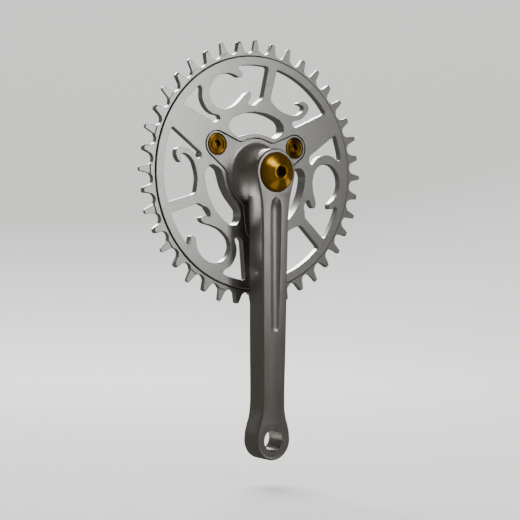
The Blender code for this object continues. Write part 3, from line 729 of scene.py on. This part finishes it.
def tooth_profile(tip_radius):
    """One tooth centred on +Z from seat bottom to seat bottom, clockwise."""
    half_pitch = 180 / TEETH
    seat = polar(PITCH_RADIUS, 90 - half_pitch)
    seat_bottom = 270 - half_pitch
    right_arc = arc(ROLLER_SEAT, seat_bottom - SEAT_SWING, seat_bottom, 12, seat)
    lean = math.radians(90 - SEAT_SWING - half_pitch)
    foot_x, foot_z = right_arc[0]

    def flank(z):
        return (foot_x - (z - foot_z) * math.tan(lean), z)

    rise = tip_radius - foot_z
    right = [flank(foot_z + rise * share) for share in (0.8, 0.65, 0.45, 0.22)]
    top_x = right[0][0]
    shoulder = [(top_x * 0.93, tip_radius - 0.09 * rise), (top_x * 0.72, tip_radius - 0.02 * rise)]
    near_top = (top_x * 0.4, tip_radius - 0.01)
    half = [(0, tip_radius), near_top, *shoulder[::-1], *right, *right_arc]
    mirrored = [(-x, z) for x, z in half[1:]][::-1]
    return mirrored + half[:-1]


def half_at_step(profile):
    """Half of a narrow tooth's width at its step."""
    rising = [point for point in profile if point[0] > 0][::-1]
    widths, heights = zip(*rising)
    return float(np.interp(NARROW_STEP_RADIUS, heights, widths))


def ring_outline():
    """The tooth ring with its narrow teeth cut off at their step."""
    profile = tooth_profile(NARROW_TIP_RADIUS)
    low = [point for point in profile if point[1] < NARROW_STEP_RADIUS]
    left = [point for point in low if point[0] < 0]
    right = [point for point in low if point[0] > 0]
    edge_x = half_at_step(profile) - 0.15
    shares = [step / 3 - 1 for step in range(7)]
    across = [(edge_x * share, NARROW_STEP_RADIUS - 0.02 * share ** 2) for share in shares]
    outline = []
    for tooth in range(TEETH):
        shape = tooth_profile(WIDE_TIP_RADIUS) if tooth % 2 else left + across + right
        outline += turned_by(shape, -360 / TEETH * tooth)
    return outline


def narrow_plates(metals):
    """The thin upper parts of every second tooth, rooted inside the ring."""
    shell = Shell()
    root = NARROW_STEP_RADIUS - NARROW_ROOT
    profile = tooth_profile(NARROW_TIP_RADIUS)
    foot = half_at_step(profile)
    high = [point for point in profile if point[1] > NARROW_STEP_RADIUS + 0.1]
    left_foot = [(-foot, root), (-foot, NARROW_STEP_RADIUS)]
    right_foot = [(foot, NARROW_STEP_RADIUS), (foot, root)]
    for tooth in range(0, TEETH, 2):
        loop = turned_by(left_foot + high + right_foot, -360 / TEETH * tooth)
        flat = grown(loop, -EDGE)
        for side in (-1, 1):
            shell.region(side * NARROW_HALF, flat)
            shell.wall(flat, side * NARROW_HALF, loop, side * (NARROW_HALF - EDGE), CUT)
        shell.wall(loop, EDGE - NARROW_HALF, loop, NARROW_HALF - EDGE)
    return shell.finish("narrow_plates", metals)


def cut_through(shell, window, back):
    """A window's wall with a small chamfer at both faces."""
    wide = grown(window, EDGE)
    shell.walls([(DISC_FRONT, wide), (DISC_FRONT + EDGE, window), (back - EDGE, window),
                 (back, wide)], (CUT, MAIN, CUT))
    return wide


def lobe_holes():
    """The bolt holes of the three lobes; the last takes a bolt with no sleeve nut."""
    holes = [circle(BOLT_HOLE_RADIUS, HOLE_POINTS, centre) for centre in FRONT_PLACES]
    return [*holes, circle(SLEEVE_BORE, HOLE_POINTS, REAR_PLACE)]


def make_chainring(metals):
    """Tooth ring, raised disc with its windows, spider's pocket, rear hub."""
    shell = Shell()
    outline = ring_outline()
    radii = np.hypot(*np.array(outline).T)
    rise = (radii - BEVEL_START_RADIUS) / (WIDE_TIP_RADIUS - BEVEL_START_RADIUS)
    bevel = ROOT_BEVEL + TIP_BEVEL * np.clip(rise, 0, 1)
    inner = grown(outline, -bevel)
    straight = (WIDE_HALF - bevel).tolist()
    shell.walls([(-WIDE_HALF, inner), ([-half for half in straight], outline),
                 (straight, outline), (WIDE_HALF, inner)], (CUT, MAIN, CUT))

    front_rim, back_rim = DISC_FRONT + EDGE, HUB_BACK - EDGE
    disc, disc_top, relief = (circle(DISC_RADIUS + more, DISC_POINTS)
                              for more in (0, -EDGE, FOOT_RELIEF))
    relief_floor = FOOT_RELIEF_DEPTH - WIDE_HALF
    shell.region(-WIDE_HALF, inner, [relief])
    # The relief groove's inner wall and floor take painted shade, near black, so the groove reads
    # as a dark line.
    shell.wall(relief, -WIDE_HALF, relief, relief_floor, PAINTED_SHADE)
    shell.region(relief_floor, relief, [disc], PAINTED_SHADE)
    shell.walls([(relief_floor, disc), (front_rim, disc), (DISC_FRONT, disc_top)], (MAIN, CUT))

    open_mouths = []
    crescent_mouths = []
    for sector in range(SECTORS):
        turn = 360 / SECTORS * sector
        for window in (scroll_window(), corner_window(), curl_window()):
            open_mouths.append(cut_through(shell, turned_by(window, turn), WIDE_HALF))
        crescent_mouths.append(cut_through(shell, turned_by(crescent_window(), turn), HUB_BACK))

    pocket = spider_outline(POCKET_GAP)
    pocket_mouth = spider_outline(POCKET_GAP + EDGE)
    bore = circle(RING_BORE, BORE_POINTS)
    bore_mouth = circle(RING_BORE + EDGE, BORE_POINTS)
    holes = lobe_holes()
    seats, seat_mouths = ([circle(radius, SEAT_POINTS, centre)
                           for centre in (*FRONT_PLACES, REAR_PLACE)]
                          for radius in (SEAT_RADIUS, SEAT_RADIUS + EDGE))
    hub = circle(HUB_RADIUS, HUB_POINTS)
    hub_top = circle(HUB_RADIUS - EDGE, HUB_POINTS)
    seat_floor = HUB_BACK - SEAT_DEPTH

    shell.region(DISC_FRONT, disc_top, [*open_mouths, *crescent_mouths, pocket_mouth])
    shell.region(WIDE_HALF, inner, [*open_mouths, hub])
    # The pocket's walls and floor take painted shade, so the gap round the spider reads black.
    shell.walls([(DISC_FRONT, pocket_mouth), (front_rim, pocket), (POCKET_FLOOR, pocket)],
                (CUT, PAINTED_SHADE))
    shell.region(POCKET_FLOOR, pocket, [bore, *holes], PAINTED_SHADE)
    shell.walls([(POCKET_FLOOR, bore), (back_rim, bore), (HUB_BACK, bore_mouth)], (MAIN, CUT))
    shell.walls([(WIDE_HALF, hub), (back_rim, hub), (HUB_BACK, hub_top)], (MAIN, CUT))
    shell.region(HUB_BACK, hub_top, [*crescent_mouths, bore_mouth, *seat_mouths])
    for mouth, seat, hole in zip(seat_mouths, seats, holes):
        shell.walls([(HUB_BACK, mouth), (back_rim, seat), (seat_floor, seat)], (CUT, MAIN))
        shell.region(seat_floor, seat, [hole])
        shell.wall(hole, POCKET_FLOOR, hole, seat_floor)
    ring = shell.finish("chainring_fine", metals)
    combine(ring, [narrow_plates(metals)], "UNION")
    sharpen(ring, SMOOTH_BELOW)
    stand_for(ring, "chainring")


# ---- crank arm ----

def arm_outline():
    """The arm seen from the front, clockwise."""
    side = smooth_run([(half, z) for z, half in ARM_HALF_WIDTHS], 6)
    side[-1] = (EYE_RADIUS, -ARM_LENGTH)
    head = arc(HEAD_RADIUS, 195, -15, 84)
    eye = arc(EYE_RADIUS, 0, -180, 72, (0, -ARM_LENGTH))
    return head + side[1:-1] + eye + [(-x, z) for x, z in side[1:-1]][::-1]


def pedal_thread(phase):
    """One level of the pedal hole's wall; the crest's place turns with the phase."""
    points = []
    for index in range(BOLT_POINTS):
        share = (index / BOLT_POINTS + phase) % 1.0
        depth = PEDAL_THREAD_DEPTH * (1 - abs(2 * share - 1))
        x, z = polar(PEDAL_HOLE + depth, 360 * index / BOLT_POINTS)
        points.append((x, z - ARM_LENGTH))
    return points


def make_blade(metals):
    """The blade from head to pedal eye, with the threaded pedal hole."""
    shell = Shell()
    outline = arm_outline()
    # The rounded chamfer's points: how far in from the outline, and how far from the face.
    rim = [(ARM_CHAMFER + 0.1, 0.0), (ARM_CHAMFER - 0.12, 0.07), (0.1, ARM_CHAMFER - 0.1)]
    deep = ARM_CHAMFER + 0.15
    loops = [grown(outline, -inset) for inset, _ in rim]
    for face, inwards in ((ARM_FRONT, 1), (ARM_BACK, -1)):
        rows = [(face + inwards * depth, loop) for (_, depth), loop in zip(rim, loops)]
        shell.walls([*rows, (face + inwards * deep, outline)])
    shell.wall(outline, ARM_FRONT + deep, outline, ARM_BACK - deep)

    centre = (0, -ARM_LENGTH)
    spot = circle(SPOT_FACE_RADIUS, SPOT_POINTS, centre)
    mouth = circle(PEDAL_MOUTH, BOLT_POINTS, centre)
    hole = circle(PEDAL_LEAD_RADIUS, BOLT_POINTS, centre)
    for face, inwards in ((ARM_FRONT, 1), (ARM_BACK, -1)):
        floor = face + inwards * SPOT_FACE_DEPTH
        shell.region(face, loops[0], [spot])
        shell.wall(spot, face, spot, floor)
        shell.region(floor, spot, [mouth])
        shell.wall(mouth, floor, hole, face + inwards * PEDAL_LEAD_IN, CUT)
    first, last = ARM_FRONT + PEDAL_LEAD_IN, ARM_BACK - PEDAL_LEAD_IN
    steps = round((last - first) / PEDAL_THREAD_PITCH * PEDAL_THREAD_LEVELS)
    sections = [(first, hole)]
    for step in range(1, steps):
        y = first + (last - first) * step / steps
        sections.append((y, pedal_thread((y - first) / PEDAL_THREAD_PITCH)))
    shell.walls([*sections, (last, hole)])
    return shell.finish("crank_arm_fine", metals)


def flare_loop(share):
    """A section of the boss, from its round foot (0) to the head and the blade's sides (1)."""
    side = smooth_run([(half, z) for z, half in ARM_HALF_WIDTHS[:BOSS_STATIONS]], 6)[::-1]
    leans = [math.degrees(math.atan2(x, -z)) for x, z in side]
    reaches = [min(math.hypot(x, z) - BOSS_GAP, BOSS_FOOT) for x, z in side]
    loop = []
    for x, z in circle(1.0, HEAD_POINTS):
        lean = math.degrees(math.acos(max(-1.0, min(1.0, -z))))
        reach = float(np.interp(lean, leans, reaches))
        radius = FLARE_RADIUS - share * (FLARE_RADIUS - reach)
        loop.append((x * radius, z * radius))
    return loop


def make_spider_body(metals):
    """Boss, flare, three-lobed spider and rear boss as one body."""
    shell = Shell()
    start = FLARE_START - ARM_CHAMFER
    depth = DISC_FRONT - FLARE_START
    foot = circle(FLARE_RADIUS, HEAD_POINTS)
    sections = [(start, flare_loop(1.0))]
    for step in range(FLARE_SECTIONS):
        angle = math.radians(90 * step / FLARE_SECTIONS)
        sections.append((FLARE_START + depth * math.sin(angle), flare_loop(math.cos(angle))))
    shell.region(start, sections[0][1])
    shell.walls([*sections, (DISC_FRONT, foot)])
    outline = spider_outline(0)
    top = spider_outline(-EDGE)
    seats, mouths = ([circle(radius, SEAT_POINTS, centre) for centre in FRONT_PLACES]
                     for radius in (SEAT_RADIUS, SEAT_RADIUS + SEAT_EDGE))
    holes = lobe_holes()
    floor = DISC_FRONT + SEAT_DEPTH
    shell.region(DISC_FRONT, top, [foot, *mouths, holes[-1]])
    shell.wall(holes[-1], DISC_FRONT, holes[-1], SPIDER_BACK)
    shell.walls([(DISC_FRONT, top), (DISC_FRONT + EDGE, outline), (SPIDER_BACK, outline)],
                (CUT, MAIN))
    rear = circle(REAR_BOSS_RADIUS, HEAD_POINTS)
    rear_edge = circle(REAR_BOSS_RADIUS - REAR_BOSS_EDGE, HEAD_POINTS)
    shell.region(SPIDER_BACK, outline, [rear, *holes])
    shell.walls([(SPIDER_BACK, rear), (REAR_FACE - REAR_BOSS_EDGE, rear), (REAR_FACE, rear_edge)],
                (MAIN, CUT))
    shell.region(REAR_FACE, rear_edge)
    for mouth, seat, hole in zip(mouths, seats, holes):
        shell.walls([(DISC_FRONT, mouth), (DISC_FRONT + SEAT_EDGE, seat), (floor, seat)],
                    (CUT, MAIN))
        shell.region(floor, seat, [hole])
        shell.wall(hole, floor, hole, SPIDER_BACK)
    return shell.finish("spider_body", metals)


def make_groove_tool(metals):
    """The path of the ball-end tool: a tube that dips into the front, with a ball's end."""
    shell = Shell()
    stations = [(z, math.sqrt(GROOVE_TOOL ** 2 - half ** 2)) for z, half in GROOVE_STATIONS]
    line = smooth_run([(GROOVE_START, GROOVE_TOOL + GROOVE_STAND_OFF), *stations], 5)
    path = [(z, height, GROOVE_TOOL) for z, height in line]
    last_z, last_height = line[-1]
    for step in range(1, 11):
        below = GROOVE_END_STEP * step
        path.append((last_z - below, last_height, math.sqrt(GROOVE_TOOL ** 2 - below ** 2)))
    rings = [[(x, ARM_FRONT - height + y, z) for x, y in circle(radius, SEAT_POINTS)]
             for z, height, radius in path]
    for ring_a, ring_b in zip(rings, rings[1:]):
        shell.band(ring_a, ring_b)
    shell.face(rings[0])
    shell.face(rings[-1])
    return shell.finish("groove_tool", metals)


def make_bore_tool(metals):
    """The cap's seat, the extractor thread's bore and the bolt's hole."""
    shell = Shell()
    mouth = circle(CAP_SEAT_RADIUS + CAP_SEAT_FLARE, HEAD_POINTS)
    seat = circle(CAP_SEAT_RADIUS, HEAD_POINTS)
    shell.wall(mouth, ARM_FRONT - 1, seat, ARM_FRONT + SEAT_EDGE, CUT)
    shell.turned([
        (ARM_FRONT + SEAT_EDGE, CAP_SEAT_RADIUS), (CAP_SEAT_FLOOR, CAP_SEAT_RADIUS),
        (CAP_SEAT_FLOOR, EXTRACTOR_BORE), (BOLT_LEDGE, EXTRACTOR_BORE),
        (BOLT_LEDGE, BOLT_HOLE), (SOCKET_TOP + 1, BOLT_HOLE),
    ], HEAD_POINTS)
    shell.region(ARM_FRONT - 1, mouth)
    shell.region(SOCKET_TOP + 1, circle(BOLT_HOLE, HEAD_POINTS))
    return shell.finish("head_bore_tool", metals)


def make_socket_tool(metals):
    """The square taper for the spindle's end, with rounded corners and a lead-in."""
    shell = Shell()
    slope = math.tan(math.radians(TAPER_DEGREES))
    top_half = SOCKET_TOP_FLATS / 2

    def square(half):
        inset = half - SOCKET_CORNER
        points = []
        for quarter in range(4):
            corner = turned_by([(inset, inset)], 90 * quarter)[0]
            points += arc(SOCKET_CORNER, 90 * quarter, 90 * quarter + 90, 6, corner)
        return points

    lead = REAR_FACE - SOCKET_LEAD_IN
    lead_half = top_half + (lead - SOCKET_TOP) * slope
    top, mouth, beyond = map(square, (top_half, lead_half, lead_half + SOCKET_FLARE))
    shell.region(SOCKET_TOP, top)
    shell.walls([(SOCKET_TOP, top), (lead, mouth), (REAR_FACE + 1, beyond)], (MAIN, CUT))
    shell.region(REAR_FACE + 1, beyond)
    return shell.finish("socket_tool", metals)


def make_crank_arm(metals):
    """Blade and spider joined, then grooved and bored."""
    arm = make_blade(metals)
    combine(arm, [make_spider_body(metals)], "UNION")
    tools = [make(metals) for make in (make_groove_tool, make_bore_tool, make_socket_tool)]
    combine(arm, tools, "DIFFERENCE")
    sharpen(arm, ARM_SMOOTH_BELOW)
    stand_for(arm, "crank_arm")


# ---- fasteners, cap and what it holds ----

def key_socket(shell, form, radius, rim, throat, floor, count):
    """A face inside the radius at the rim's level, with a hexagonal socket sunk into it."""
    flats, rounding = form
    key = []
    for index in range(count):
        degrees = 360 * index / count
        off = math.radians((degrees + 30) % 60 - 30)
        corner = flats / 2 / math.cos(math.radians(30)) * (1 - rounding)
        key.append(polar(min(flats / 2 / math.cos(off), corner), degrees + 30))
    mouth = [(x * KEY_LEAD_IN, z * KEY_LEAD_IN) for x, z in key]
    shell.region(rim, circle(radius, count), [mouth])
    shell.walls([(rim, mouth), (throat, key), (floor, key)])
    shell.region(floor, key)


def thread(start, room, crest, form):
    """Crests and roots of as many turns as the room holds, as (level, radius)."""
    pitch, depth = form
    bases = [start + turn * pitch for turn in range(int(room / pitch))]
    return [point for base in bases for point in ((base, crest), (base + pitch / 2, crest - depth))]


def make_fastener(node, centre, gold_finish, profile, socket_levels=()):
    """A turned bolt or nut at its lobe, its profile in (depth below its face, radius).

    A bolt has a key socket and a closed inner end."""
    low, high = levels(node)
    from_front = abs(low - DISC_FRONT) < 0.5
    outside, inwards = (low, 1) if from_front else (high, -1)
    profile = [(outside + inwards * depth, radius) for depth, radius in profile]
    shell = Shell()
    shell.turned(profile, BOLT_POINTS)
    if socket_levels:
        rim, throat, floor = (outside + inwards * depth for depth in socket_levels)
        key_socket(shell, CHAINRING_KEY, profile[0][1], rim, throat, floor, BOLT_POINTS)
        shell.region(profile[-1][0], circle(profile[-1][1], BOLT_POINTS))
    obj = shell.finish(f"{node}_fine", [gold_finish])
    obj.location = (centre[0] * MM, 0, centre[1] * MM)
    stand_for(obj, node)


def make_bolt(number, centre, gold_finish):
    """A chainring bolt: rim, turned groove, land, thread and hexagonal socket."""
    node = f"chainring_bolt_{number}"
    length = float(np.ptp(levels(node)))
    make_fastener(node, centre, gold_finish, [
        (0.45, 3.3), (0.15, 3.6), (0.15, 4.0), (0.9, 4.2), (0.9, 4.9), (0.06, 5.15), (0, 5.35),
        *FLANGE_FACE, (FLANGE_BACK, THREAD_RADIUS),
        *thread(2.1, length - 2.6, THREAD_RADIUS, BOLT_THREAD),
        (length - 0.4, THREAD_RADIUS), (length, THREAD_RADIUS - 0.5),
    ], (0.45, 0.65, 3.2))


def make_nut(number, centre, gold_finish):
    """A sleeve nut: a flange with a turned face on a sleeve."""
    node = f"chainring_nut_{number}"
    length = float(np.ptp(levels(node)))
    make_fastener(node, centre, gold_finish, [
        (0.35, SLEEVE_BORE), (0, SLEEVE_BORE + 0.35), *FLANGE_FACE, (FLANGE_BACK, SLEEVE_RADIUS),
        (length - 0.3, SLEEVE_RADIUS), (length, SLEEVE_RADIUS - 0.25), (length, SLEEVE_BORE),
        (0.35, SLEEVE_BORE),
    ])


def make_turned(node, material, profile):
    """A closed ring of revolution that stands for a CAD node."""
    shell = Shell()
    shell.turned([*profile, profile[0]], HEAD_POINTS)
    stand_for(shell.finish(f"{node}_fine", [material]), node)


def make_cap(gold_finish):
    """The domed cap: rim, cone with tool steps, key hole, hollow threaded skirt."""
    skirt = EXTRACTOR_BORE - 0.3
    thread_start = CAP_RIM_BACK + 0.9
    threads = thread(thread_start, CAP_SKIRT_END - 0.6 - thread_start, skirt, CAP_THREAD)
    dome = [
        (0.9, CAP_KEY_HOLE), (0.35, 3.68), (0.06, 3.95), (0, 4.15), (0.1, 4.8), (0.25, 5.3),
        (0.5, 5.42), (0.6, 5.7), (1.6, 8.2), (2.7, 10.7), (3.25, 11.5), (3.7, 11.95),
        (4.0, 12.2), (4.3, CAP_RADIUS),
    ]
    profile = [
        *[(CAP_APEX + depth, radius) for depth, radius in dome], (CAP_RIM_BACK - 0.2, CAP_RADIUS),
        (CAP_RIM_BACK, CAP_RADIUS - 0.2), (CAP_RIM_BACK, skirt), *threads,
        (CAP_SKIRT_END - 0.4, skirt), (CAP_SKIRT_END, skirt - 0.4),
        (CAP_SKIRT_END, CAP_HOLLOW_RADIUS), (CAP_HOLLOW_TOP, CAP_HOLLOW_RADIUS),
        (CAP_HOLLOW_TOP, CAP_KEY_HOLE),
    ]
    make_turned("extractor_cap", gold_finish, profile)


def rounded_ring(node, inner, edge):
    """The profile of a CAD node that is a washer, with broken edges."""
    low, high = levels(node)
    outer = half_width(node)
    return [
        (low, inner + edge), (low, outer - edge), (low + edge, outer), (high - edge, outer),
        (high, outer - edge), (high, inner + edge), (high - edge, inner), (low + edge, inner),
    ]


def make_rings(steel_finish, rubber_finish, nylon_finish):
    """Seal, slip ring and washer."""
    low, high = levels("cap_seal")
    radius = (high - low) / 2
    seal = circle(radius, 20, ((low + high) / 2, half_width("cap_seal") - radius))
    make_turned("cap_seal", rubber_finish, seal)
    make_turned("cap_slip_ring", nylon_finish, rounded_ring("cap_slip_ring", 4.0, 0.15))
    make_turned("crank_bolt_washer", steel_finish, rounded_ring("crank_bolt_washer", 4.4, 0.25))


def make_crank_bolt(steel_finish):
    """The flanged fixing bolt with its key socket and thread."""
    shell = Shell()
    flange = half_width("crank_bolt")
    room = BOLT_END - 0.8 - CRANK_THREAD_START
    threads = thread(CRANK_THREAD_START, room, THREAD_RADIUS, CRANK_BOLT_THREAD)
    profile = [
        (BOLT_TOP, CRANK_BOLT_FACE), (BOLT_TOP + 0.15, 7.1), (BOLT_TOP + 0.5, 7.5),
        (CRANK_FLANGE_FRONT - 0.3, 7.5), (CRANK_FLANGE_FRONT, 7.6),
        (CRANK_FLANGE_FRONT, flange - 0.25), (CRANK_FLANGE_FRONT + 0.25, flange),
        (CRANK_FLANGE_BACK - 0.2, flange), (CRANK_FLANGE_BACK, flange - 0.2),
        (CRANK_FLANGE_BACK, THREAD_RADIUS), *threads,
        (threads[-2][0] + CRANK_BOLT_THREAD[0], THREAD_RADIUS),
        (BOLT_END - 0.6, THREAD_RADIUS), (BOLT_END, THREAD_RADIUS - 0.6),
    ]
    throat, floor = BOLT_TOP + 0.25, BOLT_TOP + 5.5
    key_socket(shell, CRANK_KEY, CRANK_BOLT_FACE, BOLT_TOP, throat, floor, SPOT_POINTS)
    shell.turned(profile, SPOT_POINTS)
    shell.region(BOLT_END, circle(THREAD_RADIUS - 0.6, SPOT_POINTS))
    stand_for(shell.finish("crank_bolt_fine", [steel_finish]), "crank_bolt")


# ---- studio ----

def make_floor():
    """A pale floor that curves up into a wall all round, just under the pedal eye.

    Reflections pass through it, so the two lamps below it show in the metal only."""
    low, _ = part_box("crank_arm")
    floor_z = low.z - FLOOR_GAP
    bends = [math.radians(10 * step) for step in range(10)]
    profile = [(FLOOR_RADIUS * (1 + math.sin(bend)), FLOOR_RADIUS * (1 - math.cos(bend)))
               for bend in bends]
    profile.append((2 * FLOOR_RADIUS, WALL_TOP))
    bm = bmesh.new()
    rings = [[bm.verts.new((x, y, floor_z + height)) for x, y in circle(radius, SPOT_POINTS)]
             for radius, height in profile]
    bm.faces.new(rings[0])
    for ring_a, ring_b in zip(rings, rings[1:]):
        for index in range(SPOT_POINTS):
            bm.faces.new([ring_a[index], ring_a[index - 1], ring_b[index - 1], ring_b[index]])
    floor = added("floor", bpy.data.meshes.new("floor"))
    bm.to_mesh(floor.data)
    bm.free()
    floor.data.shade_smooth()
    finish = Finish("studio_floor", FLOOR_COLOUR, 0.0, 0.85)
    finish.rough(finish.noise((30, 30, 30)), 0.78, 0.92)
    fill(finish.shader, {"Emission Color": (*FLOOR_COLOUR, 1.0), "Emission Strength": 0.45})
    floor.data.materials.append(finish.material)
    floor.visible_glossy = False


def bearing(azimuth, elevation):
    """A direction from its degrees round from the front and up from level."""
    azimuth, elevation = math.radians(azimuth), math.radians(elevation)
    return Vector((math.sin(azimuth) * math.cos(elevation),
                   -math.cos(azimuth) * math.cos(elevation), math.sin(elevation)))


def area_light(name, angles, distance, size, power, aim=(0, 0, -0.045)):
    """A soft box that looks at a point of the object from an azimuth and an elevation."""
    back = bearing(*angles)
    light = bpy.data.lights.new(name, "AREA")
    light.shape = "RECTANGLE"
    light.size, light.size_y = size
    light.energy = power
    obj = added(name, light)
    obj.location = Vector(aim) + back * distance
    obj.rotation_euler = back.to_track_quat("Z", "Y").to_euler()
    obj.visible_camera = False


def make_light():
    """Soft boxes round the object and an even, dim surround."""
    area_light("gleam_box", (23, 10), 0.55, (0.1, 0.32), 0.42, (0, 0, 0))
    area_light("key_box", (4, 29), 0.72, (0.28, 0.2), 1.15, (0, 0, 0.03))
    area_light("top_box", (158, 36), 1.2, (0.9, 0.3), 19)
    area_light("left_strip", (-140, 3), 1.0, (0.5, 0.05), 0.05, (0, 0, -0.03))
    area_light("right_strip", (76, -15), 1.0, (0.25, 0.2), 0.4)
    area_light("floor_bounce", (20, -34), 0.6, (0.3, 0.2), 0.14, (0, 0, -0.1))
    world = bpy.data.worlds.new("surround")
    bpy.context.scene.world = world
    world.use_nodes = True
    fill(world.node_tree.nodes["Background"], {"Color": (0.11, 0.105, 0.098, 1.0)})


def make_camera():
    """The camera, rolled a little about its line of sight."""
    back = bearing(*CAMERA_ANGLES)
    roll = math.radians(CAMERA_ROLL)
    level_right = Vector((0, 0, 1)).cross(back).normalized()
    level_up = back.cross(level_right)
    right = math.cos(roll) * level_right + math.sin(roll) * level_up
    up = math.cos(roll) * level_up - math.sin(roll) * level_right
    place = (VIEW_CENTRE[0] * right + VIEW_CENTRE[1] * up + CAMERA_DISTANCE * back) * MM
    camera = added("camera", bpy.data.cameras.new("camera"))
    camera.data.lens = LENS
    camera.data.sensor_width = 36
    camera.data.clip_start = 0.01
    turn = Matrix((right, up, back)).transposed().to_4x4()
    camera.matrix_world = Matrix.Translation(place) @ turn
    bpy.context.scene.camera = camera


def make_crankset():
    """Every fine piece, each over its CAD node."""
    satin, blasted, edge = brushed_arm(), blasted_ring(), cut_edge()
    golden = gold("gold_anodised", (0.36, 0.175, 0.012), (0.56, 0.31, 0.03))
    # The bolts' gold is the same anodise painted darker: painted shade for the dark their faces
    # show.
    shaded_gold = gold("gold_anodised_painted_dark", (0.14, 0.07, 0.006), (0.28, 0.15, 0.02))
    dark_steel, black_rubber, white_nylon = steel(), rubber(), nylon()
    make_chainring([blasted, edge, painted_gap_shade()])
    make_crank_arm([satin, edge])
    for number, centre in enumerate(FRONT_PLACES, start=1):
        make_bolt(number, centre, shaded_gold)
        make_nut(number, centre, golden)
    make_bolt(3, REAR_PLACE, shaded_gold)
    make_cap(golden)
    make_rings(dark_steel, black_rubber, white_nylon)
    make_crank_bolt(dark_steel)


make_camera()
make_floor()
make_light()
make_crankset()
